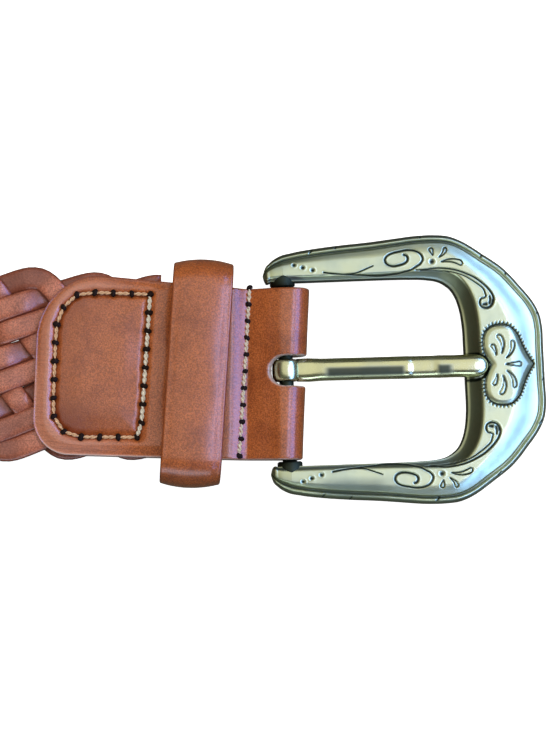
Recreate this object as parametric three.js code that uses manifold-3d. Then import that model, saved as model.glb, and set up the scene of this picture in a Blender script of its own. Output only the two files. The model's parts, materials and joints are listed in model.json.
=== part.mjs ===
import * as THREE from 'three';
import { mergeVertices } from 'three/addons/utils/BufferGeometryUtils.js';
import Module from 'manifold-3d';

// A braided leather belt with a cast western buckle, lying open and flat with its front face up.
// Millimetres. +X runs along the belt to the buckle, +Y across it, +Z up from the surface it lies on.
// Every piece is drawn square to the buckle's bar, whose middle is at x = 0 and y = 0. The strap is sewn
// a little askew: its fold is skewed on the bar and it turns aside further behind it. The last lines lay
// the strap along X and centre the belt.

// Driving dimensions: leather and strap
const strapWidth = 35.6;        // chape and tip, edge to edge
const leather = 1.8;            // thickness of the strap leather
const gap = 0.3;                // air between two pieces that lie on each other
const chapeReach = 51.6;        // bar to the rounded end of the chape
const seamReach = 8.7;          // bar to the cross seam that closes the fold
const braidShown = 803;         // braid between the chape and the tip
const tipLength = 95;           // leather tip past the shown braid
const tipTaper = 24;            // stretch over which the tip rounds off
const tipNose = 9;              // width of the blunt front of the tip
const tipHold = 26;             // braid hidden in the tip
const highCorner = 13;          // the chape's wide corner, along and across
const lowCorner = 7.5;          // its tight corner
const liftLength = 22;          // stretch over which the braid climbs onto a back layer
const strapTurn = 4.0;          // degrees between the strap and the buckle
const foldTurn = 2.0;           // degrees of it between the fold and the bar
const turnReach = 3.6;          // bar to the start of the turn, just past the prong's slot

// Driving dimensions: braid
const laceCount = 10;
const laceThickness = 1.7;
const braidWidth = 39.6;        // over the bulges where the laces turn
const scallopDepth = 1.5;
const turnPitch = 12.76;        // from one turn to the next along an edge
const downLaceRun = 31;         // length that a lace takes from the +Y edge down to the -Y edge
const turnPlace = 38.4;         // bar to one of the turns at the +Y edge
const laceDip = 1.1;            // depth of the pits between crossings
const coveredDip = 0.3;         // how much lower the steep laces lie where they cross over
const braidPull = 0.07;         // share by which the sewn end is drawn narrower in the chape
const braidAside = 0.7;         // how far the sewn end lies to the +Y side there

// Driving dimensions: keeper
const keeperWidth = 12.3;       // along the belt
const keeperReach = 12.4;       // bar to the keeper's near edge
const keeperSpan = 45.1;        // across the belt, outside
const keeperAside = 0.6;        // how far it has slid to the -Y side
const keeperSlant = 1.1;        // degrees that it leans on the strap
const keeperRoom = 4.5;         // height left over the chape for the belt's tip
const keeperBend = 4.6;         // radius of its bends at mid thickness
const keeperCrown = 0.7;        // bulge along its middle

// Driving dimensions: buckle frame
const barRadius = 1.5;
const collarRadius = 2.6;
const foldRoom = 0.8;           // air between bar and folded leather
const armRoom = 1.4;            // air between chape edge and arm
const armWidth = 8.9;
const windowReach = 37.7;       // bar to the far side of the window
const frontWidth = 16.8;        // from there to the front end
const castThickness = 5.2;
const rimWidth = 1.3;
const grooveWidth = 0.4;
const grooveDepth = 0.35;
const rimSide = 0.5;
const frontDrop = 2.0;          // fall of the face to the outer edge at the front
const chamferWidth = 3.0;       // inner bevel at the front
const chamferDepth = 2.5;
const edgeRound = 0.5;
const notchDepth = 1.6;         // seat for the prong's tip

// Driving dimensions: prong
const prongWidth = 4.5;
const prongThickness = 2.9;
const prongTipWidth = 4.9;
const prongOverlap = 4.3;       // tip past the window's far side
const eyeWall = 1.1;
const eyeWidth = 4.6;
const eyeChamfer = 0.5;
const slotRoom = 0.8;           // leather slot, beside the prong's eye
const slotBack = 0.5;           // and behind it

// Worked out from them
const braidThickness = 2 * laceThickness;
const foldRadius = barRadius + foldRoom + leather;
const barHeight = foldRadius;
const windowHalf = strapWidth / 2 + armRoom;
const frameHalf = windowHalf + armWidth;
const frameReach = windowReach + frontWidth;
const keeperFar = keeperReach + keeperWidth;
const braidStart = keeperFar + 2 * gap;
const tipMouth = chapeReach + braidShown;
const braidFinish = tipMouth + tipHold;
const beltEnd = tipMouth + tipLength;
const lift = leather + gap;
const seamHeight = leather + gap;
const turnEnd = keeperReach - gap;
const overKeeper = lift + leather + gap;
const overBraid = lift + braidThickness + gap;
const prongReach = windowReach + prongOverlap;
const eyeBore = barRadius + gap;
const eyeRadius = eyeBore + eyeWall;

const wasm = await Module();
wasm.setup();

// Solids for joining and cutting

function signedVolume(position, index) {
  const a = new THREE.Vector3();
  const b = new THREE.Vector3();
  const c = new THREE.Vector3();
  let volume = 0;
  for (let i = 0; i < index.length; i += 3) {
    a.fromBufferAttribute(position, index[i]);
    b.fromBufferAttribute(position, index[i + 1]);
    c.fromBufferAttribute(position, index[i + 2]);
    volume += a.dot(b.cross(c)) / 6;
  }
  return volume;
}

function toSolid(geometry) {
  const bare = geometry.clone();
  bare.deleteAttribute('normal');
  bare.deleteAttribute('uv');
  const merged = mergeVertices(bare, 1e-4);
  const position = merged.getAttribute('position');
  const index = Array.from(merged.index.array);
  if (signedVolume(position, index) < 0) {
    index.reverse();
  }
  const mesh = new wasm.Mesh({
    numProp: 3,
    vertProperties: new Float32Array(position.array),
    triVerts: new Uint32Array(index),
  });
  return new wasm.Manifold(mesh);
}

function toGeometry(solid) {
  const mesh = solid.getMesh();
  const geometry = new THREE.BufferGeometry();
  geometry.setAttribute('position', new THREE.BufferAttribute(new Float32Array(mesh.vertProperties), 3));
  geometry.setIndex(Array.from(mesh.triVerts));
  geometry.computeVertexNormals();
  return geometry;
}

// A skin over rows of points, all rows of one length. Rows and columns may each close on themselves.
function skin(rows, loop, capped) {
  const columns = rows[0].length;
  const vertices = rows.flat();
  const index = [];
  const lastRow = loop ? rows.length : rows.length - 1;
  for (let r = 0; r < lastRow; r++) {
    const next = (r + 1) % rows.length;
    for (let c = 0; c < columns; c++) {
      const side = (c + 1) % columns;
      const corner = [r * columns + c, r * columns + side, next * columns + side, next * columns + c];
      index.push(corner[0], corner[1], corner[2], corner[0], corner[2], corner[3]);
    }
  }
  if (capped) {
    for (const [row, flipped] of [[0, true], [rows.length - 1, false]]) {
      const middle = new THREE.Vector3();
      rows[row].forEach((point) => middle.addScaledVector(point, 1 / columns));
      vertices.push(middle);
      for (let c = 0; c < columns; c++) {
        const edge = [row * columns + c, row * columns + (c + 1) % columns];
        index.push(edge[flipped ? 1 : 0], edge[flipped ? 0 : 1], vertices.length - 1);
      }
    }
  }
  const geometry = new THREE.BufferGeometry();
  geometry.setFromPoints(vertices);
  geometry.setIndex(index);
  return geometry;
}

// A side view, x and z, carried across the belt from edge to edge
function acrossBelt(shape, width, steps) {
  const geometry = new THREE.ExtrudeGeometry(shape, { depth: width, bevelEnabled: false, curveSegments: steps });
  geometry.rotateX(Math.PI / 2);
  geometry.translate(0, width / 2, 0);
  return geometry;
}

// A plan, x and y, carried up
function upright(shape, low, high, steps) {
  const geometry = new THREE.ExtrudeGeometry(shape, { depth: high - low, bevelEnabled: false, curveSegments: steps });
  geometry.translate(0, 0, low);
  return geometry;
}

// The outline of a strip of leather whose middle follows a path
function stripOutline(path, thickness, steps) {
  const points = path.getPoints(steps).filter((p, i, all) => i === 0 || p.distanceTo(all[i - 1]) > 1e-3);
  const outside = [];
  const inside = [];
  points.forEach((point, i) => {
    const before = points[Math.max(i - 1, 0)];
    const after = points[Math.min(i + 1, points.length - 1)];
    const along = after.clone().sub(before).normalize();
    const side = new THREE.Vector2(along.y, -along.x).multiplyScalar(thickness / 2);
    outside.push(point.clone().add(side));
    inside.push(point.clone().sub(side));
  });
  return new THREE.Shape([...outside, ...inside.reverse()]);
}

function rowsOf(columns, table) {
  return table.map((row) => Object.fromEntries(columns.map((name, i) => [name, row[i]])));
}

// The strap's turn in the plane: its fold is askew on the bar, then it bends evenly over a short stretch
// and runs on straight
function turnAside(geometry) {
  const position = geometry.getAttribute('position');
  const full = THREE.MathUtils.degToRad(strapTurn - foldTurn);
  const bendLength = turnEnd - turnReach;
  for (let i = 0; i < position.count; i++) {
    const past = Math.max(0, -position.getX(i) - turnReach);
    const bent = Math.min(past, bendLength);
    const angle = full * bent / bendLength;
    const middleX = -bendLength * Math.sin(angle) / full - (past - bent) * Math.cos(angle);
    const middleY = bendLength * (1 - Math.cos(angle)) / full + (past - bent) * Math.sin(angle);
    const x = Math.max(position.getX(i), -turnReach) + middleX + position.getY(i) * Math.sin(angle);
    position.setXY(i, x, middleY + position.getY(i) * Math.cos(angle));
  }
  geometry.rotateZ(-THREE.MathUtils.degToRad(foldTurn));
  geometry.computeVertexNormals();
  return geometry;
}

// Chape: one strip, laid under the belt, round the bar and back over the top to its rounded end

function chapeSide() {
  const middle = leather / 2;
  const bend = foldRadius - middle;
  const seamMiddle = seamHeight + middle;
  const reach = Math.hypot(seamReach, barHeight - seamMiddle);
  const slope = Math.atan2(barHeight - seamMiddle, seamReach) + Math.asin(bend / reach);
  const easing = leather * 0.8;
  const plateau = turnEnd;
  const saddle = (keeperReach + 1.6 * keeperWidth / 2.6);
  const turnSteps = 5;
  const path = new THREE.Path();
  path.moveTo(-chapeReach, middle);
  for (let step = 0; step <= turnSteps; step++) {
    path.lineTo(THREE.MathUtils.lerp(-turnEnd, -turnReach, step / turnSteps), middle);
  }
  path.lineTo(0, middle);
  path.absarc(0, barHeight, bend, -Math.PI / 2, Math.PI / 2 + slope, false);
  path.lineTo(-seamReach + easing * Math.cos(slope), seamMiddle + easing * Math.sin(slope));
  path.bezierCurveTo(
    -seamReach, seamMiddle,
    -(seamReach + plateau) / 2, overKeeper + middle,
    -plateau, overKeeper + middle,
  );
  path.lineTo(-saddle, overKeeper + middle);
  path.bezierCurveTo(
    -(saddle + braidStart) / 2, overKeeper + middle,
    -(saddle + braidStart) / 2, overBraid + middle,
    -braidStart + gap, overBraid + middle,
  );
  path.lineTo(-chapeReach, overBraid + middle);
  return stripOutline(path, leather, 10);
}

// The chape's plan: a wide rounded corner on one side and a tight one on the other
function chapePlan() {
  const half = strapWidth / 2;
  const soft = 0.45;
  const plan = new THREE.Shape();
  plan.moveTo(2 * foldRadius, -half);
  plan.lineTo(2 * foldRadius, half);
  plan.lineTo(-chapeReach + highCorner, half);
  plan.bezierCurveTo(
    -chapeReach + soft * highCorner, half,
    -chapeReach, half - soft * highCorner,
    -chapeReach, half - highCorner,
  );
  plan.lineTo(-chapeReach, -half + lowCorner);
  plan.bezierCurveTo(
    -chapeReach, -half + soft * lowCorner,
    -chapeReach + soft * lowCorner, -half,
    -chapeReach + lowCorner, -half,
  );
  return plan;
}

// A slot with one round end at x = -back, open past the fold
function slotPlan() {
  const half = eyeWidth / 2 + slotRoom;
  const back = eyeRadius + slotBack;
  const plan = new THREE.Shape();
  plan.moveTo(2 * foldRadius, -half);
  plan.lineTo(2 * foldRadius, half);
  plan.lineTo(-back + half, half);
  plan.absarc(-back + half, 0, half, Math.PI / 2, Math.PI * 1.5, false);
  return plan;
}

function makeChape() {
  const tall = overBraid + 2 * leather;
  const strip = toSolid(acrossBelt(chapeSide(), strapWidth + 2, 1));
  const plan = toSolid(upright(chapePlan(), -1, tall, 8));
  const slot = toSolid(upright(slotPlan(), -1, tall + foldRadius, 10));
  return toGeometry(strip.intersect(plan).subtract(slot));
}

// Tip: two layers sewn face to face, open at the mouth where they hold the end of the braid

function tipSide() {
  const hold = braidFinish + gap;
  const climb = 5;
  const side = new THREE.Shape();
  side.moveTo(-tipMouth, 0);
  side.lineTo(-tipMouth, leather);
  side.lineTo(-hold, leather);
  side.lineTo(-hold, overBraid);
  side.lineTo(-tipMouth, overBraid);
  side.lineTo(-tipMouth, overBraid + leather);
  side.lineTo(-hold, overBraid + leather);
  side.bezierCurveTo(
    -hold - climb, overBraid + leather,
    -hold - climb, 2 * leather,
    -hold - 2 * climb, 2 * leather,
  );
  side.lineTo(-beltEnd, 2 * leather);
  side.lineTo(-beltEnd, 0);
  return side;
}

function tipPlan() {
  const half = strapWidth / 2;
  const nose = tipNose / 2;
  const corner = lowCorner;
  const soft = 0.45;
  const plan = new THREE.Shape();
  plan.moveTo(-tipMouth, half - corner);
  plan.bezierCurveTo(
    -tipMouth, half - soft * corner,
    -tipMouth - soft * corner, half,
    -tipMouth - corner, half,
  );
  plan.lineTo(-beltEnd + tipTaper, half);
  plan.bezierCurveTo(-beltEnd + tipTaper * 0.4, half, -beltEnd, half * 0.8, -beltEnd, nose);
  plan.lineTo(-beltEnd, -nose);
  plan.bezierCurveTo(-beltEnd, -half * 0.8, -beltEnd + tipTaper * 0.4, -half, -beltEnd + tipTaper, -half);
  plan.lineTo(-tipMouth - corner, -half);
  plan.bezierCurveTo(
    -tipMouth - soft * corner, -half,
    -tipMouth, -half + soft * corner,
    -tipMouth, -half + corner,
  );
  return plan;
}

function makeTip() {
  const side = toSolid(acrossBelt(tipSide(), strapWidth + 2, 8));
  const plan = toSolid(upright(tipPlan(), -1, overBraid + 2 * leather, 8));
  return toGeometry(side.intersect(plan));
}

// Braid: flat braid of ten laces as one band. A lace crosses the others at level 1, 2, 3 and so on
// from the +Y edge, and turns at the edges, which makes the bulges. Each crossing is a high point and
// each meeting of four laces a pit.

function braidLift(x) {
  const nearChape = THREE.MathUtils.smoothstep(x, -chapeReach - liftLength - 4, -chapeReach - 4);
  const nearTip = THREE.MathUtils.smoothstep(-x, tipMouth - liftLength - 4, tipMouth - 4);
  const nearTipEnd = THREE.MathUtils.smoothstep(-x, tipMouth - liftLength, tipMouth);
  return lift * Math.max(nearChape, Math.max(nearTip, nearTipEnd));
}

function braidPoint(step, level, under) {
  const crossing = step % 2 === 0;
  const turnsBefore = Math.ceil((braidFinish + downLaceRun - turnPlace) / turnPitch);
  const firstTurn = -turnPlace - turnsBefore * turnPitch;
  const x = firstTurn + step * turnPitch / 2 + level * downLaceRun / laceCount;
  const edge = level === 0 || level === laceCount;
  const inner = braidWidth / 2 - scallopDepth / 2;
  const half = crossing ? braidWidth / 2 : braidWidth / 2 - scallopDepth;
  const share = 1 - 2 * level / laceCount;
  const square = edge ? Math.sign(share) * half : share * inner;
  const sewn = THREE.MathUtils.smoothstep(x, -chapeReach - 8, -chapeReach + 16);
  const y = square * (1 - braidPull * sewn) + braidAside * sewn;
  const steepOver = level % 3 === 1;
  let z = crossing ? braidThickness - (steepOver ? coveredDip : 0) : braidThickness - laceDip;
  if (edge) {
    z = braidThickness / 2;
  }
  if (under) {
    z = 0;
  }
  return new THREE.Vector3(x, y, z + braidLift(x));
}

function makeBraid() {
  const length = braidFinish - braidStart + 2 * downLaceRun + turnPitch;
  const steps = 2 * Math.ceil(length / turnPitch);
  const underLevels = [laceCount - 1, laceCount / 2, 1];
  const rows = [];
  for (let step = 0; step <= steps; step++) {
    const row = [];
    for (let level = 0; level <= laceCount; level++) {
      row.push(braidPoint(step, level, false));
    }
    underLevels.forEach((level) => row.push(braidPoint(step, level, true)));
    rows.push(row);
  }
  const band = toSolid(skin(rows, false, true));
  const keep = new THREE.BoxGeometry(braidFinish - braidStart, 2 * braidWidth, 8 * braidThickness);
  keep.translate(-(braidFinish + braidStart) / 2, 0, 0);
  return toGeometry(band.intersect(toSolid(keep)));
}

// Keeper: a leather loop whose lower run lies between the two layers of the chape

function makeKeeper() {
  const middle = leather / 2;
  const low = lift + middle;
  const high = overBraid + leather + keeperRoom + middle;
  const half = keeperSpan / 2 - middle;
  const bend = Math.min(keeperBend, (high - low) / 2.02, half / 2);
  const loop = new THREE.Path();
  loop.moveTo(0, low);
  loop.lineTo(half - bend, low);
  loop.absarc(half - bend, low + bend, bend, -Math.PI / 2, 0, false);
  loop.lineTo(half, high - bend);
  loop.absarc(half - bend, high - bend, bend, 0, Math.PI / 2, false);
  loop.lineTo(half / 2, high);
  loop.lineTo(0, high);
  loop.lineTo(-half / 2, high);
  loop.lineTo(-half + bend, high);
  loop.absarc(-half + bend, high - bend, bend, Math.PI / 2, Math.PI, false);
  loop.lineTo(-half, low + bend);
  loop.absarc(-half + bend, low + bend, bend, Math.PI, Math.PI * 1.5, false);
  const points = loop.getPoints(5).filter((p, i, all) => i === 0 || p.distanceTo(all[i - 1]) > 1e-3);
  // Columns: place along the keeper's width, outward place in the leather, share of the crown
  const section = rowsOf(['along', 'out', 'crown'], [
    [-0.47, 0.5, 0],
    [-0.25, 0.5, 0.75],
    [0, 0.5, 1],
    [0.25, 0.5, 0.75],
    [0.47, 0.5, 0],
    [0.5, 0.25, 0],
    [0.5, -0.5, 0],
    [0, -0.5, 0.8],
    [-0.5, -0.5, 0],
    [-0.5, 0.25, 0],
  ]);
  const rows = points.map((point, i) => {
    const before = points[(i + points.length - 1) % points.length];
    const after = points[(i + 1) % points.length];
    const along = after.clone().sub(before).normalize();
    const rise = THREE.MathUtils.smoothstep(point.y, low + leather, (low + high) / 2);
    return section.map((corner) => {
      const out = corner.out * leather + corner.crown * keeperCrown * rise;
      const across = point.x + along.y * out;
      const lean = across * Math.tan(THREE.MathUtils.degToRad(keeperSlant));
      const x = -keeperReach - keeperWidth / 2 + corner.along * keeperWidth + lean;
      return new THREE.Vector3(x, across - keeperAside, point.y - along.x * out);
    });
  });
  return toGeometry(toSolid(skin(rows, true, false)));
}

// Buckle frame: a bowed casting with two arms, joined by the bar that the leather turns on

function castMiddle(x) {
  const share = THREE.MathUtils.clamp(1 - x / frameReach, 0, 1);
  return castThickness / 2 + (barHeight - castThickness / 2) * share * share;
}

// Columns: outer and inner edge as shares of the frame's and the window's reach and half width,
// then the shares of the face's fall, of the inner bevel and of the casting's thickness.
const frameRows = rowsOf(['outX', 'outY', 'inX', 'inY', 'fall', 'bevel', 'body'], [
  [-0.073, 0.738, -0.100, 1.030, 0.30, 0.28, 0.60],
  [-0.067, 0.776, -0.092, 1.000, 0.30, 0.28, 0.85],
  [-0.047, 0.826, -0.066, 0.997, 0.30, 0.28, 0.97],
  [-0.013, 0.870, -0.018, 0.995, 0.30, 0.28, 1],
  [0.040, 0.897, 0.055, 0.995, 0.25, 0.28, 1],
  [0.115, 0.920, 0.165, 0.996, 0.25, 0.28, 1],
  [0.225, 0.943, 0.325, 0.998, 0.25, 0.28, 1],
  [0.340, 0.961, 0.490, 1.000, 0.25, 0.30, 1],
  [0.440, 0.982, 0.610, 1.000, 0.25, 0.34, 1],
  [0.515, 0.997, 0.708, 0.997, 0.25, 0.42, 1],
  [0.590, 1.000, 0.802, 0.987, 0.28, 0.54, 1],
  [0.648, 0.988, 0.875, 0.958, 0.35, 0.70, 1],
  [0.698, 0.950, 0.926, 0.896, 0.45, 0.86, 1],
  [0.778, 0.850, 0.965, 0.786, 0.60, 0.98, 1],
  [0.857, 0.738, 0.986, 0.654, 0.75, 1.04, 1],
  [0.922, 0.598, 0.996, 0.520, 0.90, 1.02, 1],
  [0.972, 0.470, 1.000, 0.390, 1, 1, 1],
  [0.992, 0.385, 1.000, 0.300, 1, 1, 1],
  [1.000, 0.290, 1.000, 0.225, 1, 1, 1],
  [1.000, 0.145, 1.000, 0.113, 1, 1, 1],
  [1.000, 0.000, 1.000, 0.000, 1, 1, 1],
]);

function frameSection(row, side) {
  const outer = new THREE.Vector2(row.outX * frameReach, side * row.outY * frameHalf);
  const inner = new THREE.Vector2(row.inX * windowReach, side * row.inY * windowHalf);
  const width = outer.distanceTo(inner);
  const tight = Math.min(1, width / (armWidth * 0.6));
  const half = castThickness / 2 * row.body;
  const rimTop = half - row.fall * frontDrop;
  const bevel = row.bevel * chamferWidth * tight;
  const bevelFoot = half - row.bevel * chamferDepth;
  const rim = rimWidth * tight;
  const round = edgeRound * tight;
  const profile = [
    [round, -half],
    [0, -half + round],
    [0, rimTop - rimSide],
    [rim * 0.35, rimTop],
    [rim, rimTop],
    [rim + grooveWidth * tight, rimTop - grooveDepth],
    [Math.max(width * 0.42, rim + 2 * grooveWidth * tight), half],
    [width - bevel, half],
    [width - bevel * 0.3, bevelFoot + 0.15 * row.bevel * chamferDepth],
    [width, bevelFoot],
    [width, -half + round],
    [width - round, -half],
  ];
  return profile.map(([along, height]) => {
    const place = outer.clone().lerp(inner, along / width);
    return new THREE.Vector3(place.x, place.y, castMiddle(place.x) + height);
  });
}

function barProfile() {
  const end = windowHalf + armWidth * 0.3;
  const collar = strapWidth / 2 + gap;
  return [
    [0, -end], [collarRadius, -end], [collarRadius, -collar], [barRadius, -collar],
    [barRadius, collar], [collarRadius, collar], [collarRadius, end], [0, end],
  ].map(([radius, along]) => new THREE.Vector2(radius, along));
}

function notchPlan() {
  const half = prongTipWidth / 2 + gap;
  const plan = new THREE.Shape();
  plan.moveTo(windowReach - frontWidth / 2, -half);
  plan.lineTo(prongReach + gap - half, -half);
  plan.absarc(prongReach + gap - half, 0, half, -Math.PI / 2, Math.PI / 2, false);
  plan.lineTo(windowReach - frontWidth / 2, half);
  return plan;
}

const notchFloor = castMiddle(prongReach) + castThickness / 2 - notchDepth;

function makeFrame() {
  const upper = frameRows.map((row) => frameSection(row, 1));
  const lower = frameRows.slice(0, -1).reverse().map((row) => frameSection(row, -1));
  const casting = toSolid(skin([...upper, ...lower], false, true));
  const bar = new THREE.LatheGeometry(barProfile(), 20);
  bar.translate(0, 0, barHeight);
  const notch = toSolid(upright(notchPlan(), notchFloor, notchFloor + 2 * castThickness, 6));
  return toGeometry(casting.add(toSolid(bar)).subtract(notch));
}

// Prong: an eye on the bar and a rod whose tip rests in the frame's notch

// Columns: place from eye to tip, half width as a share of the prong's or the tip's,
// lowering of the top and raising of the bottom as shares of the thickness.
const prongRows = rowsOf(['at', 'half', 'wide', 'top', 'bottom'], [
  [0.052, 1.00, 0, 0.16, 0.10],
  [0.110, 1.04, 0, 0.13, 0.04],
  [0.175, 0.98, 0, 0.04, 0.00],
  [0.420, 0.98, 0, 0.00, 0.00],
  [0.600, 1.00, 0, 0.00, 0.00],
  [0.625, 0.98, 0, 0.08, 0.04],
  [0.730, 0.98, 0, 0.08, 0.04],
  [0.755, 1.00, 0, 0.00, 0.00],
  [0.840, 0.96, 1, 0.00, 0.00],
  [0.940, 1.00, 1, 0.02, 0.00],
  [0.972, 0.86, 1, 0.10, 0.03],
  [0.991, 0.58, 1, 0.24, 0.10],
  [1.000, 0.22, 1, 0.42, 0.22],
]);

function prongSection(row) {
  const x = row.at * prongReach;
  const half = row.half * (row.wide ? prongTipWidth : prongWidth) / 2;
  const rootBottom = barHeight - prongThickness * 0.3;
  const tipBottom = notchFloor + gap;
  const line = THREE.MathUtils.lerp(rootBottom, tipBottom, row.at);
  const bottom = line + row.bottom * prongThickness;
  const height = line + (1 - row.top) * prongThickness - bottom;
  const corners = [
    [0.70, 0], [1, 0.28], [0.97, 0.58], [0.62, 0.93], [0, 1],
    [-0.62, 0.93], [-0.97, 0.58], [-1, 0.28], [-0.70, 0],
  ];
  return corners.map(([across, up]) => new THREE.Vector3(x, across * half, bottom + up * height));
}

function makeProng() {
  const side = eyeWidth / 2;
  const profile = [
    [eyeBore, -side], [eyeRadius - eyeChamfer, -side], [eyeRadius, -side + 1.2 * eyeChamfer],
    [eyeRadius, side - 1.2 * eyeChamfer], [eyeRadius - eyeChamfer, side], [eyeBore, side], [eyeBore, -side],
  ].map(([radius, along]) => new THREE.Vector2(radius, along));
  const eye = new THREE.LatheGeometry(profile, 22);
  eye.translate(0, 0, barHeight);
  const rod = skin(prongRows.map(prongSection), false, true);
  return toGeometry(toSolid(eye).add(toSolid(rod)));
}

// Assembly

const tan = new THREE.MeshStandardMaterial({ color: 0xb0643e, roughness: 0.5, metalness: 0 });
const paleTan = new THREE.MeshStandardMaterial({ color: 0xbc7458, roughness: 0.55, metalness: 0 });
const antiqueBrass = new THREE.MeshStandardMaterial({ color: 0xb7b07c, roughness: 0.35, metalness: 1 });
const polishedBrass = new THREE.MeshStandardMaterial({ color: 0xc4bd8c, roughness: 0.2, metalness: 1 });

function piece(name, geometry, material) {
  const mesh = new THREE.Mesh(geometry, material);
  mesh.name = name;
  return mesh;
}

const strap = new THREE.Group();
strap.add(piece('chape', turnAside(makeChape()), tan));
strap.add(piece('keeper', turnAside(makeKeeper()), tan));
strap.add(piece('braid', turnAside(makeBraid()), paleTan));
strap.add(piece('tip', turnAside(makeTip()), tan));

const buckle = new THREE.Group();
buckle.add(piece('buckle_frame', makeFrame(), antiqueBrass));
buckle.add(piece('prong', makeProng(), polishedBrass));

const belt = new THREE.Group();
belt.add(strap, buckle);
belt.rotation.z = THREE.MathUtils.degToRad(strapTurn);
const middle = new THREE.Box3().setFromObject(belt, true).getCenter(new THREE.Vector3());
belt.position.set(-middle.x, -middle.y, 0);

export default belt;
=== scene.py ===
import json
import math
import random

import bmesh
import bpy
import numpy as np
from mathutils import Matrix, Vector


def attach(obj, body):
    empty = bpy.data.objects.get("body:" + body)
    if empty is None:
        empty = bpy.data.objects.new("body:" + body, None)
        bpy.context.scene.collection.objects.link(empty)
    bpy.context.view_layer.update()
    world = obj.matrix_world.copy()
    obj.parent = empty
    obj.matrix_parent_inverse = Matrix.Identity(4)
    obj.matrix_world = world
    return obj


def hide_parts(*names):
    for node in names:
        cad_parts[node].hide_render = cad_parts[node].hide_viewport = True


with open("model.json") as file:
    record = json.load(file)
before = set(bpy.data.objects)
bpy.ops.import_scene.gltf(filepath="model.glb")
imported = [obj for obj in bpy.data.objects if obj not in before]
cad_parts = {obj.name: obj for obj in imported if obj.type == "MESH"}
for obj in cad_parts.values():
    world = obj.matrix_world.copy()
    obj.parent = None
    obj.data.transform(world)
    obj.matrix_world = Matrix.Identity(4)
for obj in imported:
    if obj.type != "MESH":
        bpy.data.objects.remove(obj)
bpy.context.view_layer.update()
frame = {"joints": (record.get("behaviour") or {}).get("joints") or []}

# The view: the belt lies open and flat, and is seen almost from straight above, a little from its
# near side. Only its buckle end, 113 mm of it, is in the picture. Pieces are drawn in millimetres from
# the middle of the buckle's bar and square to it, and the strap then turns aside past the fold.
PICTURE = (550, 733)
PIXELS_PER_MM = 4.86
BAR_TO_PICTURE_MIDDLE = (-2.47, 1.4, 7.0)
VIEW_AZIMUTH = -33
VIEW_ELEVATION = 84.6
VIEW_ROLL = 1.8
VIEW_DISTANCE = 0.38
SENSOR = 36
FOLD_TURN = math.radians(2.0)
TURN_REACH = 3.6
TURN_LENGTH = 8.5
FOLD_SHEAR = 0.047
SHEAR_FROM = -4
SHEAR_TO = 1

hinge = frame["joints"][0]
bar = Vector((hinge["pos_m"][0], hinge["pos_m"][1], 0))
strap_turn = math.atan2(hinge["axis"][0], -hinge["axis"][1])


def place(points, turn=strap_turn):
    """Millimetres from the bar and square to it, as an array, to metres in the belt's own frame."""
    x, y, z = np.asarray(points, float).T / 1000
    along = bar.x + x * math.cos(turn) - y * math.sin(turn)
    return np.column_stack([along, bar.y + x * math.sin(turn) + y * math.cos(turn), z])


def eased(x, low, high):
    """A share that climbs smoothly from 0 at low to 1 at high."""
    t = np.clip((x - low) / (high - low), 0, 1)
    return t * t * (3 - 2 * t)


def place_strap(points):
    """The same for a piece of the strap: askew on the bar, bent further aside past it, then straight."""
    x, y, z = np.asarray(points, float).T
    full = strap_turn - FOLD_TURN
    past = np.maximum(0, -x - TURN_REACH)
    bent = np.minimum(past, TURN_LENGTH)
    angle = full * bent / TURN_LENGTH
    middle_x = -TURN_LENGTH * np.sin(angle) / full - (past - bent) * np.cos(angle)
    middle_y = TURN_LENGTH * (1 - np.cos(angle)) / full + (past - bent) * np.sin(angle)
    sheared = np.sin(angle) + FOLD_SHEAR * eased(x, SHEAR_FROM, SHEAR_TO)
    turned_x = np.maximum(x, -TURN_REACH) + middle_x + y * sheared
    return place(np.column_stack([turned_x, middle_y + y * np.cos(angle), z]), full)


def looking_back(azimuth, elevation):
    """The direction from the bar to the camera."""
    a = math.radians(azimuth)
    e = math.radians(elevation)
    return Vector((math.sin(a) * math.cos(e), -math.cos(a) * math.cos(e), math.sin(e)))


camera = bpy.data.objects.new("camera", bpy.data.cameras.new("camera"))
bpy.context.scene.collection.objects.link(camera)
bpy.context.scene.camera = camera
back = looking_back(VIEW_AZIMUTH, VIEW_ELEVATION)
level = Vector((math.cos(math.radians(VIEW_ROLL)), math.sin(math.radians(VIEW_ROLL)), 0))
right = (level - back * back.dot(level)).normalized()
facing = Matrix((right, back.cross(right), back)).transposed().to_4x4()
middle = Vector(BAR_TO_PICTURE_MIDDLE) / 1000
target = bar + level * middle.x + Vector((-level.y, level.x, 0)) * middle.y + Vector((0, 0, middle.z))
camera.matrix_world = Matrix.Translation(target + back * VIEW_DISTANCE) @ facing
camera.data.sensor_width = SENSOR
camera.data.lens = SENSOR * VIEW_DISTANCE / (PICTURE[1] / PIXELS_PER_MM / 1000)
camera.data.clip_start = 0.01
camera.data.clip_end = 20

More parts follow.
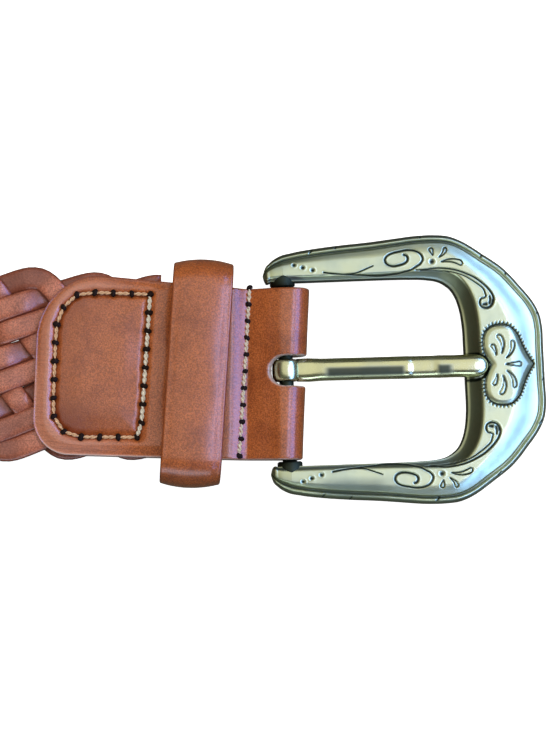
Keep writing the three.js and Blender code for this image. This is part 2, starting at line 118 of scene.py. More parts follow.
# The studio: a pale floor under a wide soft light. Cool lights past the buckle and before the belt show
# only in glossy faces, where they draw the bluish sheen along the fold, the keeper and the buckle's slope.
FLOOR_SIDE = 12
FLOOR_COLOUR = (0.93, 0.93, 0.93, 1)
FLOOR_ROUGHNESS = 0.9
FLOOR_GLOW = 0.9
ROOM_COLOUR = (0.12, 0.125, 0.105)
LIGHTS = [
    # name, offset from the bar, radiance, width, depth, colour, whether it lights matt or glossy surfaces
    ("top_light", (0.05, 0.30, 1.05), 1.95, 1.7, 1.3, (1.0, 0.985, 0.95), "matt"),
    ("top_gleam", (0.05, 0.28, 1.00), 0.86, 1.65, 1.25, (1.0, 0.985, 0.95), "glossy"),
    ("window_light", (0.64, 0.03, 0.54), 9.0, 1.7, 0.38, (0.19, 0.36, 1.0), "glossy"),
    ("sky_light", (0.42, 0.02, 0.90), 9.0, 0.55, 0.16, (0.42, 0.50, 1.0), "glossy"),
    ("near_light", (-0.15, -0.85, 0.40), 4.0, 1.0, 0.30, (0.62, 0.78, 1.0), "glossy"),
]


def new_finish(name):
    """A material, its node tree and its shader."""
    made = bpy.data.materials.new(name)
    made.use_nodes = True
    return made, made.node_tree, made.node_tree.nodes["Principled BSDF"]


floor_mesh = bpy.data.meshes.new("floor")
floor_corners = [(x * FLOOR_SIDE / 2, y * FLOOR_SIDE / 2, 0) for x, y in ((-1, -1), (1, -1), (1, 1), (-1, 1))]
floor_mesh.from_pydata(floor_corners, [], [(0, 1, 2, 3)])
floor = bpy.data.objects.new("floor", floor_mesh)
bpy.context.scene.collection.objects.link(floor)
floor_paint, _, paint = new_finish("floor_paint")
paint.inputs["Base Color"].default_value = FLOOR_COLOUR
paint.inputs["Roughness"].default_value = FLOOR_ROUGHNESS
paint.inputs["Emission Color"].default_value = (1, 1, 1, 1)
paint.inputs["Emission Strength"].default_value = FLOOR_GLOW
floor_mesh.materials.append(floor_paint)
floor.visible_glossy = False
floor.visible_diffuse = False

for name, offset, radiance, width, depth, colour, lit in LIGHTS:
    lamp = bpy.data.lights.new(name, "AREA")
    lamp.shape = "RECTANGLE"
    lamp.size = width
    lamp.size_y = depth
    lamp.color = colour
    lamp.energy = radiance * math.pi * width * depth
    holder = bpy.data.objects.new(name, lamp)
    bpy.context.scene.collection.objects.link(holder)
    holder.location = bar + Vector(offset)
    holder.visible_diffuse = lit == "matt"
    holder.visible_glossy = lit == "glossy"
    holder.rotation_euler = Vector(offset).to_track_quat("Z", "Y").to_euler()

room = bpy.data.worlds.new("room")
room.use_nodes = True
room.node_tree.nodes["Background"].inputs["Color"].default_value = (*ROOM_COLOUR, 1)
bpy.context.scene.world = room
bpy.context.scene.view_settings.view_transform = "Standard"

# Leather finishes: vegetable-tanned hide, dyed tan and waxed. The belt's leathers share a mottled tone
# with dark freckles and a fibrous speckle, and a pebbled grain that creases where it is bent. Each piece
# sets its own colours and gloss.
PORE_SCALE = 2600
GRAIN_SCALE = 900
FRECKLE_SCALE = 1100.0
FIBRE_SCALE = 3000.0
CREASE_TURN = math.radians(-38)
CREASE_SCALE = (260, 1500, 300)
WAX_ROUGHNESS = 0.24
HIDE_SPECULAR = 0.12
GRAIN_DEPTH = 0.00025


def new_group(name, inputs, outputs):
    """A shader node group with named inputs and outputs, and its two end nodes."""
    tree = bpy.data.node_groups.new(name, "ShaderNodeTree")
    for label, kind, value in inputs:
        socket = tree.interface.new_socket(label, in_out="INPUT", socket_type=kind)
        socket.default_value = value
    for label, kind in outputs:
        tree.interface.new_socket(label, in_out="OUTPUT", socket_type=kind)
    return tree, tree.nodes.new("NodeGroupInput"), tree.nodes.new("NodeGroupOutput")


def add_node(tree, kind, settings=None, **inputs):
    """A node whose named inputs are set to values, or linked where the value is a socket."""
    made = tree.nodes.new(kind)
    for key, value in (settings or {}).items():
        setattr(made, key, value)
    for key, value in inputs.items():
        socket = made.inputs[int(key[1:])] if key[0] == "i" and key[1:].isdigit() else made.inputs[key]
        if isinstance(value, bpy.types.NodeSocket):
            tree.links.new(value, socket)
        else:
            socket.default_value = value
    return made


def blended(tree, share, first, second, mode="MIX"):
    """The colour between two colours, by a share."""
    mix = add_node(tree, "ShaderNodeMix", {"data_type": "RGBA", "blend_type": mode, "clamp_factor": True})
    for socket, value in ((mix.inputs[0], share), (mix.inputs[6], first), (mix.inputs[7], second)):
        if isinstance(value, bpy.types.NodeSocket):
            tree.links.new(value, socket)
        else:
            socket.default_value = value
    return mix.outputs[2]


def sum_of(tree, kind, first, second, third=0.0):
    """One step of arithmetic on two or three values or sockets."""
    made = add_node(tree, "ShaderNodeMath", {"operation": kind}, i0=first, i1=second, i2=third)
    return made.outputs[0]


def between(tree, value, low, high, to_low=0.0, to_high=1.0):
    """A value that runs from to_low to to_high while its source runs from low to high."""
    settings = {"interpolation_type": "SMOOTHSTEP"}
    made = add_node(tree, "ShaderNodeMapRange", settings, i0=value, i1=low, i2=high, i3=to_low, i4=to_high)
    return made.outputs[0]


def noise(tree, where, scale, detail=3.0, roughness=0.5):
    """Soft clouds from 0 to 1, their scale in clouds a metre."""
    amounts = {"Scale": scale, "Detail": detail, "Roughness": roughness}
    return add_node(tree, "ShaderNodeTexNoise", None, Vector=where, **amounts).outputs["Fac"]


def make_hide_tone():
    """The colour of dyed hide: cloudy, freckled and finely speckled."""
    tree, given, result = new_group(
        "hide_tone",
        [
            ("Tan", "NodeSocketColor", (0.4, 0.12, 0.04, 1)),
            ("Deep", "NodeSocketColor", (0.2, 0.05, 0.02, 1)),
            ("Mottle", "NodeSocketFloat", 120.0),
            ("Specks", "NodeSocketFloat", 0.5),
        ],
        [("Colour", "NodeSocketColor"), ("Cloud", "NodeSocketFloat")],
    )
    where = add_node(tree, "ShaderNodeTexCoord").outputs["Object"]
    cloud = noise(tree, where, given.outputs["Mottle"], 4.0, 0.6)
    deepness = between(tree, cloud, 0.42, 0.72, 0.0, 0.5)
    toned = blended(tree, deepness, given.outputs["Tan"], given.outputs["Deep"])
    freckle = between(tree, noise(tree, where, FRECKLE_SCALE, 2.0, 0.6), 0.56, 0.74, 0.0, 0.55)
    freckled = sum_of(tree, "MULTIPLY", freckle, given.outputs["Specks"])
    toned = blended(tree, freckled, toned, given.outputs["Deep"])
    grains = between(tree, noise(tree, where, FIBRE_SCALE, 2.0, 0.7), 0.36, 0.64, 0.56, 1.0)
    grey = add_node(tree, "ShaderNodeCombineColor", None, i0=grains, i1=grains, i2=grains).outputs[0]
    tree.links.new(blended(tree, 1.0, toned, grey, "MULTIPLY"), result.inputs["Colour"])
    tree.links.new(cloud, result.inputs["Cloud"])
    return tree


def make_hide_grain():
    """The height of the hide's grain: pebbles between pores, slow waves, and slanting creases."""
    tree, given, result = new_group(
        "hide_grain",
        [("Pores", "NodeSocketFloat", PORE_SCALE), ("Creases", "NodeSocketFloat", 0.0)],
        [("Height", "NodeSocketFloat")],
    )
    where = add_node(tree, "ShaderNodeTexCoord").outputs["Object"]
    cells = add_node(tree, "ShaderNodeTexVoronoi", {"feature": "DISTANCE_TO_EDGE"}, Vector=where)
    tree.links.new(given.outputs["Pores"], cells.inputs["Scale"])
    pebbles = between(tree, cells.outputs["Distance"], 0.0, 0.35)
    waves = noise(tree, where, GRAIN_SCALE, 3.0, 0.6)
    grain = sum_of(tree, "MULTIPLY_ADD", pebbles, 0.45, waves)
    slanted = add_node(tree, "ShaderNodeMapping", None, Vector=where)
    slanted.inputs["Rotation"].default_value = (0, 0, CREASE_TURN)
    slanted.inputs["Scale"].default_value = CREASE_SCALE
    folds = noise(tree, slanted.outputs["Vector"], 1.0, 2.0, 0.5)
    creased = sum_of(tree, "MULTIPLY", between(tree, folds, 0.40, 0.62), given.outputs["Creases"])
    tree.links.new(sum_of(tree, "ADD", grain, creased), result.inputs["Height"])
    return tree


hide_tone = make_hide_tone()
hide_grain = make_hide_grain()


def painted(tree, name):
    """A value that the mesh holds at each of its points."""
    return add_node(tree, "ShaderNodeAttribute", {"attribute_name": name}).outputs["Fac"]


def leather(name, tan, deep, pale, raw_and_highlight, rough, mottle=120.0, specks=0.5, bump=0.25, wax=0.25):
    """Dyed hide. Its mesh says how far it is shaded, creased and pale, and how far it takes the cut colour,
    which is unfinished fibre at a slot and a painted highlight along a strip's near edge.
    """
    made, tree, shader = new_finish(name)
    tone = add_node(tree, "ShaderNodeGroup", {"node_tree": hide_tone}, Tan=(*tan, 1), Deep=(*deep, 1))
    tone.inputs["Mottle"].default_value = mottle
    tone.inputs["Specks"].default_value = specks
    shaded = blended(tree, painted(tree, "shade"), tone.outputs["Colour"], (*deep, 1))
    worn = blended(tree, sum_of(tree, "MULTIPLY", painted(tree, "crease"), 0.6), shaded, (*pale, 1))
    # The cut colour is unfinished fibre at a slot and a painted highlight along a strip's near edge.
    cut = blended(tree, painted(tree, "cut"), worn, (*raw_and_highlight, 1))
    tree.links.new(cut, shader.inputs["Base Color"])
    grain = add_node(tree, "ShaderNodeGroup", {"node_tree": hide_grain}, Creases=painted(tree, "crease"))
    lumps = add_node(tree, "ShaderNodeBump", None, Strength=bump, Distance=GRAIN_DEPTH)
    tree.links.new(grain.outputs["Height"], lumps.inputs["Height"])
    tree.links.new(lumps.outputs["Normal"], shader.inputs["Normal"])
    gloss = between(tree, tone.outputs["Cloud"], 0.3, 0.7, rough - 0.06, rough + 0.08)
    rougher = sum_of(tree, "MULTIPLY_ADD", painted(tree, "cut"), 0.35, gloss)
    tree.links.new(rougher, shader.inputs["Roughness"])
    shader.inputs["Coat Weight"].default_value = wax
    shader.inputs["Coat Roughness"].default_value = WAX_ROUGHNESS
    shader.inputs["Specular IOR Level"].default_value = HIDE_SPECULAR
    return made


# The braid: ten flat tan laces in one flat band. Each lace goes over two and under one on its long
# way up across the belt, turns at the edge, and dives back down steeply over one and under two.
LACES = 10
LACE_WIDTH = 4.75
LACE_THICKNESS = 1.7
BRAID_WIDTH = 39.6
BRAID_PULL = 0.055
BRAID_ASIDE = 0.9
BRAID_SHIFT = 0.8
EDGE_FLAT = 0.55
EDGE_OVERSHOOT = 0.36
TURN_PITCH = 12.76
DOWN_RUN = 31.0
FIRST_TURN = -38.4
BRAID_START = -25.9
BRAID_FINISH = -880.6
CHAPE_REACH = 51.6
TIP_MOUTH = 854.6
BACK_LAYER_LIFT = 2.1
LIFT_LENGTH = 22
CORNER_EASING = 3.1
LACE_STEP = 1.25
LACE_SIDES = 18
LACE_SAG = 0.28
LACE_SQUARENESS = (0.62, 0.9)
PATH_FINENESS = 5
DIVE_SHADE = 0.75
OVER_ON_WAY_DOWN = (1, 4, 7)
LACE_TAN = (0.70, 0.230, 0.140)
LACE_DEEP = (0.14, 0.028, 0.012)
LACE_PALE = (0.66, 0.32, 0.24)


def braid_lift(x):
    """How far the braid is raised where it climbs onto a back layer of leather at either end."""
    near_chape = eased(x, -CHAPE_REACH - LIFT_LENGTH - 4, -CHAPE_REACH - 4)
    near_tip = eased(-x, TIP_MOUTH - LIFT_LENGTH - 4, TIP_MOUTH - 4)
    return BACK_LAYER_LIFT * np.maximum(near_chape, near_tip)


def lace_level(step):
    """Whether a lace lies on top, 1, or below, 0, at a whole step of its way: 10 down and 10 up."""
    step = int(step) % (2 * LACES)
    if step in (0, LACES):
        return 0.5
    if step < LACES:
        return 1.0 if step in OVER_ON_WAY_DOWN else 0.0
    return 0.0 if 2 * LACES - step in OVER_ON_WAY_DOWN else 1.0


def lace_height(way):
    """Height of a lace's middle, in lace thicknesses, along its way in steps."""
    step = np.floor(way).astype(int)
    part = way - step
    here = np.array([lace_level(s) for s in step])
    there = np.array([lace_level(s + 1) for s in step])
    steep = np.mod(step, 2 * LACES) < LACES
    change = np.where(steep, eased(part, 0.08, 0.92), eased(part, 0.20, 0.80))
    sag = np.where((here == 1) & (there == 1), np.sin(np.pi * part) ** 2, 0)
    return here + (there - here) * change - LACE_SAG * sag


def unit(rows):
    """Each row of numbers scaled to length 1."""
    return rows / np.linalg.norm(rows, axis=1)[:, None]


def lengths_along(points):
    """The length of a line up to each of its points."""
    return np.concatenate([[0], np.cumsum(np.linalg.norm(np.diff(points, axis=0), axis=1))])


def smoothed(values, reach):
    """Rounds the corners of a path, by a running mean that is taken twice."""
    kernel = np.ones(2 * reach + 1) / (2 * reach + 1)
    for _ in range(2):
        padded = np.pad(values, reach, mode="reflect", reflect_type="odd")
        values = np.convolve(padded, kernel, mode="valid")
    return values


def lace_path(number):
    """Points along the middle of one lace, evenly spaced."""
    period = LACES * TURN_PITCH
    half = BRAID_WIDTH / 2 - LACE_WIDTH / 2 + EDGE_OVERSHOOT * CORNER_EASING + EDGE_FLAT
    periods = int((BRAID_START - BRAID_FINISH) / period) + 3
    first = FIRST_TURN + number * TURN_PITCH - periods * period + period
    corners = []
    for turn_number in range(periods + 1):
        start = first + turn_number * period
        corners.append((start, half, 2 * LACES * turn_number))
        corners.append((start + DOWN_RUN, -half, 2 * LACES * turn_number + LACES))
    corners = np.array(corners, float)
    total = lengths_along(corners[:, :2])
    fine = LACE_STEP / PATH_FINENESS
    along = np.arange(0, total[-1], fine)
    x = np.interp(along, total, corners[:, 0])
    y = np.interp(along, total, corners[:, 1])
    way = np.interp(along, total, corners[:, 2])
    reach = round(CORNER_EASING / fine)
    x = smoothed(x, reach)
    y = smoothed(np.clip(y, -half + EDGE_FLAT, half - EDGE_FLAT), reach)
    sewn = eased(x, -CHAPE_REACH - 8, -CHAPE_REACH + 16)
    pushed = BRAID_SHIFT * eased(x, -CHAPE_REACH - 60, -CHAPE_REACH - 10)
    y = y * (1 - BRAID_PULL * sewn) + (BRAID_ASIDE - BRAID_SHIFT) * sewn + pushed
    z = LACE_THICKNESS * (0.5 + lace_height(way)) + braid_lift(x)
    z = smoothed(z, round(0.5 / fine))
    path = np.column_stack([x, y, z, lace_height(way)])[::PATH_FINENESS]
    return path[(path[:, 0] > BRAID_FINISH) & (path[:, 0] < BRAID_START)]


def rounded_section(width, thickness, sides, squareness):
    """Points round a flat oval whose sides are full and whose edges are soft."""
    angle = 2 * np.pi * np.arange(sides) / sides
    across = np.sign(np.cos(angle)) * np.abs(np.cos(angle)) ** squareness[0] * width / 2
    up = np.sign(np.sin(angle)) * np.abs(np.sin(angle)) ** squareness[1] * thickness / 2
    return across, up


def new_piece(name, points, faces, marks=None):
    """A smooth-shaded mesh object from points in metres, with named values held at its points."""
    mesh = bpy.data.meshes.new(name)
    mesh.from_pydata([tuple(p) for p in points], [], faces)
    for mark, values in (marks or {}).items():
        mesh.attributes.new(mark, "FLOAT", "POINT").data.foreach_set("value", np.asarray(values, np.float32))
    mesh.polygons.foreach_set("use_smooth", [True] * len(mesh.polygons))
    mesh.update()
    made = bpy.data.objects.new(name, mesh)
    bpy.context.scene.collection.objects.link(made)
    return made


def tube_faces(rows, sides, capped=True):
    """Faces of a tube of rows of points, closed round each row and, where capped, at both ends."""
    r = np.arange(rows - 1)[:, None] * sides
    c = np.arange(sides)[None, :]
    after = (c + 1) % sides
    quads = np.stack([r + c, r + after, r + sides + after, r + sides + c], axis=-1).reshape(-1, 4)
    faces = quads.tolist()
    if capped:
        faces.append(list(range(sides))[::-1])
        faces.append(list(range((rows - 1) * sides, rows * sides)))
    return faces


lace_hide = leather(
    "lace_hide", LACE_TAN, LACE_DEEP, LACE_PALE, LACE_DEEP, 0.42, mottle=90.0, specks=0.4, bump=0.3, wax=0.8
)
lace_across, lace_up = rounded_section(LACE_WIDTH, LACE_THICKNESS, LACE_SIDES, LACE_SQUARENESS)
lace_shade = np.clip((np.abs(lace_across) / (LACE_WIDTH / 2) - 0.80) / 0.2, 0, 1)
lace_shade = np.where(lace_up < 0, 1.0, lace_shade)
for number in range(LACES):
    path = lace_path(number)
    diving = DIVE_SHADE * (1 - eased(path[:, 3], 0.30, 0.95))
    middle = path[:, :3]
    ahead = unit(np.gradient(middle, axis=0))
    side = unit(np.column_stack([ahead[:, 1], -ahead[:, 0], np.zeros(len(ahead))]))
    upward = np.cross(side, ahead)
    points = middle[:, None] + side[:, None] * lace_across[:, None] + upward[:, None] * lace_up[:, None]
    lace = new_piece(
        f"lace_{number + 1:02d}",
        place_strap(points.reshape(-1, 3)),
        tube_faces(len(middle), LACE_SIDES),
        {"shade": np.maximum(lace_shade, diving[:, None]).ravel()},
    )
    lace.data.materials.append(lace_hide)
    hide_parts("braid")
    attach(lace, "strap")

# The chape: one strip of smooth saddle leather, laid under the braid's end, round the buckle's bar and
# back over the top. Its rounded end is sewn down through the braid, and a slot lets the prong through.
HIDE = 1.8
GAP = 0.3
STRAP_WIDTH = 35.6
HIGH_CORNER = 13
LOW_CORNER = 7.5
FOLD_RADIUS = 4.1
SEAM_REACH = 8.7
SEAM_HEIGHT = 2.1
OVER_KEEPER = 4.2
OVER_BRAID = 5.8
KEEPER_REACH = 12.4
KEEPER_WIDTH = 12.3
SLOT_RADIUS = 3.1
SLOT_BACK = 3.4
SLOT_ASIDE = 0.7
CORNER_SOFT = 0.45
EDGE_ROUND = 0.55
EDGE_STEPS = (0, 0.03, 0.10, 0.22, 0.40, 0.62, 0.90, 1.25, 1.7, 2.2)
PATCH_HIGH = 19.2
PATCH_START = (20, 27)
CHAPE_TAN = (0.60, 0.160, 0.040)
CHAPE_DEEP = (0.23, 0.042, 0.006)
CHAPE_PALE = (0.70, 0.30, 0.21)
RAW_EDGE_AND_HIGHLIGHT = (0.66, 0.56, 0.58)
PATCH_RIGHT = -29.1
PATCH_LEAN = 0.5
PATCH_LEFT = -47.6
PATCH_TOP = 15.6
PATCH_BOTTOM = -14.1
PATCH_HIGH_CURVE = 8.5
PATCH_LOW_CURVE = 5.5
PATCH_STITCHES = 24
SEAM_STITCHES = 11
SEAM_LEAN = 0.05
FACE_END = 62
FOLD_END = 76


def bezier(a, b, c, d, steps):
    """Points on a smooth bend from a to d, drawn towards b and c."""
    t = np.linspace(0, 1, steps + 1)[:, None]
    a, b, c, d = (np.array(p, float) for p in (a, b, c, d))
    return a * (1 - t) ** 3 + 3 * b * t * (1 - t) ** 2 + 3 * c * t * t * (1 - t) + d * t ** 3


def arc(centre, radius, start, end, steps):
    """Points on part of a circle, between two angles."""
    t = np.linspace(start, end, steps + 1)
    return np.column_stack([centre[0] + radius * np.cos(t), centre[1] + radius * np.sin(t)])


def joined(*runs):
    """One line from several runs of points, without doubled points."""
    points = np.vstack([np.atleast_2d(np.array(run, float)) for run in runs])
    keep = np.concatenate([[True], np.linalg.norm(np.diff(points, axis=0), axis=1) > 1e-4])
    return points[keep]


def along_line(points, spacing):
    """The same line with its points evenly spaced, and the length up to each."""
    total = lengths_along(points)
    at = np.linspace(0, total[-1], max(2, round(total[-1] / spacing) + 1))
    return np.column_stack([np.interp(at, total, points[:, i]) for i in range(points.shape[1])]), at


def distance_to(points, line):
    """Distance from each point to a line of straight stretches, in the plane."""
    best = np.full(len(points), 1e9)
    for a, b in zip(line[:-1], line[1:]):
        run = b - a
        size = run @ run
        if size < 1e-12:
            continue
        share = np.clip(((points - a) @ run) / size, 0, 1)
        best = np.minimum(best, np.linalg.norm(points - a - share[:, None] * run, axis=1))
    return best


def inside(x, y, outline):
    """Whether each place lies within a closed outline."""
    odd = np.zeros(x.shape, bool)
    for (ax, ay), (bx, by) in zip(outline, np.roll(outline, -1, axis=0)):
        if ay != by:
            odd ^= ((ay > y) != (by > y)) & (x < ax + (bx - ax) * (y - ay) / (by - ay))
    return odd


def edge_profile(distance, thickness):
    """Half the thickness of a leather strip near its cut edge, which is rubbed round."""
    t = np.clip(1 - distance / EDGE_ROUND, 0, 1)
    return thickness / 2 * (1 - t ** 2.6) ** (1 / 2.6)


def strip_columns(inner, outer, count):
    """Places across a strip from its inner to its outer side, closer together near both."""
    width = outer - inner
    scale = np.minimum(1, width / (2.6 * EDGE_STEPS[-1]))
    near = np.array(EDGE_STEPS)[None, :] * scale[:, None]
    middle = np.linspace(0, 1, count)[None, 1:-1]
    low = near[:, -1:]
    high = width[:, None] - near[:, -1:]
    across = np.hstack([near, low + (high - low) * middle, (width[:, None] - near)[:, ::-1]])
    return inner[:, None] + across


def leather_strip(name, line, rows, limits, thickness, relief=None, hole=None, tones=None, columns=44):
    """A strip of leather that follows a side view line. Rows are lengths along it, limits gives its low
    and high side at a row, hole the half width of a slot there, relief moves its upper face, and tones
    adds darker and paler places, painted shade among them. Its near side's cut edge is a painted highlight."""
    steps = lengths_along(line)
    x = np.interp(rows, steps, line[:, 0])
    z = np.interp(rows, steps, line[:, 1])
    slope = unit(np.gradient(line, axis=0))
    ahead_x = np.interp(rows, steps, slope[:, 0])
    ahead_z = np.interp(rows, steps, slope[:, 1])
    size = np.hypot(ahead_x, ahead_z)
    out_x = -ahead_z / size
    out_z = ahead_x / size
    low, high = limits(x)
    inner = hole(x) if hole else np.zeros(len(rows))
    border = np.vstack([
        np.column_stack([rows, high]),
        np.column_stack([rows[::-1], low[::-1]]),
        [[rows[0], high[0]]],
    ])
    points = []
    faces = []
    cut = []
    shade = []
    crease = []
    for sign, limit in ((1, high), (-1, -low)):
        across = sign * strip_columns(inner, limit, columns)
        count = across.shape[1]
        flat = np.column_stack([np.repeat(rows, count), across.ravel()])
        from_border = distance_to(flat, border).reshape(across.shape)
        from_border[:, -1] = 0
        from_border[[0, -1]] = 0
        from_hole = np.full(across.shape, 1e9)
        if hole:
            for side in (1, -1):
                rim = np.column_stack([rows, side * inner])[inner > 0]
                from_hole = np.minimum(from_hole, distance_to(flat, rim).reshape(across.shape))
            ends = (inner == 0) & ((np.roll(inner, -1) > 0) | (np.roll(inner, 1) > 0))
            from_hole[(inner > 0) | ends, 0] = 0
        distance = np.minimum(from_border, from_hole)
        # Along the strip's near side the cut edge takes the cut colour as a painted highlight, and the cut
        # edges on its other sides are darker. A slot's edge shows unfinished fibre all round.
        raw_and_highlight = eased(-across, STRAP_WIDTH / 2 - 4, STRAP_WIDTH / 2 - 1)
        raw_cut_and_highlight = np.maximum(np.clip(1 - from_hole / 0.34, 0, 1), np.clip(1 - from_border / 0.34, 0, 1) * raw_and_highlight)
        dark_edge_and_shade = np.clip(1 - from_border / 0.7, 0, 1) * (1 - raw_and_highlight) * 0.75
        wrinkled = eased(-from_border, -4.2, -1.0) * eased(-x[:, None], 30, 46) * eased(-across, -6, 6)
        if tones:
            darker, paler = tones(x[:, None], across, from_border)
            dark_edge_and_shade = np.maximum(dark_edge_and_shade, darker)
            wrinkled = np.maximum(wrinkled, paler)
        thick = edge_profile(distance, thickness)
        lifted = relief(x[:, None], across, distance) if relief else np.zeros(across.shape)
        if hole:
            from_limit = 1 - np.abs(across) / np.abs(limit)[:, None]
            across = across + SLOT_ASIDE * eased(x, -9, -4)[:, None] * from_limit
        for face, amount in ((1, thick + lifted * np.clip(distance / 0.3, 0, 1)), (-1, -thick)):
            start = sum(len(p) for p in points)
            grid = [x[:, None] + out_x[:, None] * amount, across, z[:, None] + out_z[:, None] * amount]
            points.append(np.stack(grid, -1).reshape(-1, 3))
            cut.append(raw_cut_and_highlight.ravel())
            shade.append(dark_edge_and_shade.ravel())
            crease.append(wrinkled.ravel())
            r = np.arange(len(rows) - 1)[:, None] * count
            c = np.arange(count - 1)[None, :]
            quads = np.stack([r + c, r + c + 1, r + count + c + 1, r + count + c], -1).reshape(-1, 4) + start
            faces.extend(quads.tolist() if face * sign < 0 else quads[:, ::-1].tolist())
    marks = {"cut": np.concatenate(cut), "shade": np.concatenate(shade), "crease": np.concatenate(crease)}
    made = new_piece(name, place_strap(np.vstack(points)), faces, marks)
    work = bmesh.new()
    work.from_mesh(made.data)
    bmesh.ops.remove_doubles(work, verts=work.verts, dist=2e-7)
    bmesh.ops.recalc_face_normals(work, faces=work.faces)
    work.to_mesh(made.data)
    work.free()
    return made


def chape_line():
    """The side view of the strip's middle, from its rounded end over the fold to its end underneath."""
    middle = HIDE / 2
    bend = FOLD_RADIUS - middle
    seam = (-SEAM_REACH, SEAM_HEIGHT + middle)
    reach = math.hypot(SEAM_REACH, FOLD_RADIUS - seam[1])
    slope = math.atan2(FOLD_RADIUS - seam[1], SEAM_REACH) + math.asin(bend / reach)
    easing = HIDE * 0.8
    plateau = -KEEPER_REACH + GAP
    saddle = -KEEPER_REACH - 1.6 * KEEPER_WIDTH / 2.6
    braid = BRAID_START + GAP
    top = OVER_KEEPER + middle
    high = OVER_BRAID + middle
    half_way = (saddle + BRAID_START) / 2
    return joined(
        [(-CHAPE_REACH, high)],
        bezier((braid, high), (half_way, high), (half_way, top), (saddle, top), 24),
        bezier((plateau, top), ((plateau - SEAM_REACH) / 2, top), seam,
               (seam[0] + easing * math.cos(slope), seam[1] + easing * math.sin(slope)), 24),
        arc((0, FOLD_RADIUS), bend, math.pi / 2 + slope, -math.pi / 2, 60),
        [(-CHAPE_REACH, middle)],
    )


def chape_limits(x):
    """The strip's low and high side: its end has one wide and one tight corner."""
    half = STRAP_WIDTH / 2
    end = -CHAPE_REACH
    high = bezier((end, PATCH_HIGH - HIGH_CORNER - 1), (end, PATCH_HIGH - CORNER_SOFT * HIGH_CORNER),
                  (end + CORNER_SOFT * HIGH_CORNER, PATCH_HIGH), (end + HIGH_CORNER, PATCH_HIGH), 60)
    high = joined(high, [(-24, half + 0.5), (-10, half)])
    low = bezier((end, half - LOW_CORNER), (end, half - CORNER_SOFT * LOW_CORNER),
                 (end + CORNER_SOFT * LOW_CORNER, half), (end + LOW_CORNER, half), 60)
    return -np.interp(x, low[:, 0], low[:, 1]), np.interp(x, high[:, 0], high[:, 1])


def slot_half(x):
    """Half the width of the prong's slot, whose near end is round."""
    from_centre = np.clip(SLOT_RADIUS - (x + SLOT_BACK), 0, None)
    return np.where(x > -SLOT_BACK, np.sqrt(np.clip(SLOT_RADIUS ** 2 - from_centre ** 2, 0, None)), 0)


def patch_stitch_line():
    """The closed line of stitching on the chape's end: two square corners and two rounded ones."""
    left = PATCH_LEFT
    high = PATCH_HIGH_CURVE
    low = PATCH_LOW_CURVE
    curve = 0.448
    top_left = bezier((left + high * 0.75, PATCH_TOP), (left + high * curve * 0.75, PATCH_TOP),
                      (left, PATCH_TOP - high * curve), (left, PATCH_TOP - high), 12)
    low_left = bezier((left, PATCH_BOTTOM + low), (left, PATCH_BOTTOM + low * curve),
                      (left + low * curve, PATCH_BOTTOM), (left + low, PATCH_BOTTOM), 8)
    top_right = (PATCH_RIGHT + PATCH_LEAN, PATCH_TOP)
    low_right = (PATCH_RIGHT - PATCH_LEAN, PATCH_BOTTOM + 0.3)
    return joined([top_right], top_left, low_left, [low_right], [top_right])


stitch_line = patch_stitch_line()
patch_holes, _ = along_line(stitch_line, lengths_along(stitch_line)[-1] / PATCH_STITCHES)
seam_across = np.linspace(STRAP_WIDTH / 2 + 0.2, -STRAP_WIDTH / 2 + 0.9, SEAM_STITCHES)
seam_holes = np.column_stack([-SEAM_REACH + SEAM_LEAN * seam_across, seam_across])


def soft_lumps(x, y):
    """Slow, shallow unevenness of hand-cut leather."""
    return 0.06 * np.sin(0.55 * x + 1.3) * np.sin(0.41 * y + 0.4) + 0.04 * np.sin(0.23 * x - 0.37 * y)


def from_stitches(x, y):
    """How far each place is from the patch's stitches, and whether it lies within them."""
    x = np.broadcast_to(x, y.shape)
    flat = np.column_stack([x.ravel(), y.ravel()])
    return distance_to(flat, stitch_line).reshape(y.shape), inside(x, y, stitch_line)


def chape_relief(x, y, distance):
    """The patch's face: a groove under the stitches, a pit at each hole, a soft rim, and slow lumps."""
    to_stitches, within = from_stitches(x, y)
    to_holes = np.full(y.shape, 1e9)
    for hole in patch_holes:
        to_holes = np.minimum(to_holes, np.hypot(x - hole[0], y - hole[1]))
    over_braid = eased(-x, *PATCH_START)
    groove = -0.42 * np.exp(-(to_stitches / 0.85) ** 2) - 0.30 * np.exp(-(to_holes / 0.75) ** 2)
    pillow = np.where(within, -0.55 * (1 - eased(to_stitches, 0, 6)), 0.12 * eased(to_stitches, 0.3, 1.5))
    sloping_rim = -0.80 * (1 - eased(distance, 0, 2.6))
    return over_braid * (groove + pillow + sloping_rim) + soft_lumps(x, y)


def chape_tones(x, y, distance):
    """Painted shade in the groove round the stitches; darker towards the patch's far end, corners and low
    side;
    paler on its rim and at the seam.
    """
    to_stitches, within = from_stitches(x, y)
    over_braid = eased(-x, *PATCH_START)
    far_corners = 0.60 * eased(-x, 32, 46) * eased(np.abs(y - 2), 3, 15)
    far_side = far_corners + 0.35 * eased(-x, 40, 47) + 0.25 * eased(-y, 6, 13)
    # Painted shade fills the groove under the stitches.
    dark = np.maximum(0.5 * np.exp(-(to_stitches / 0.6) ** 2), np.where(within, far_side, 0)) * over_braid
    rim = np.where(within, 0, eased(distance, 0.5, 1.3) * eased(to_stitches, 0.2, 0.9)) * over_braid
    ragged = 0.35 * np.sin(5.1 * y) * np.sin(1.7 * y + 2) + 0.2 * np.sin(11 * y)
    beside_seam = np.exp(-((x - (-SEAM_REACH + SEAM_LEAN * y - 1.4 + ragged)) / 0.70) ** 4)
    return dark, np.clip(0.9 * rim * eased(-x, 30, 40) + 0.75 * beside_seam, 0, 1)


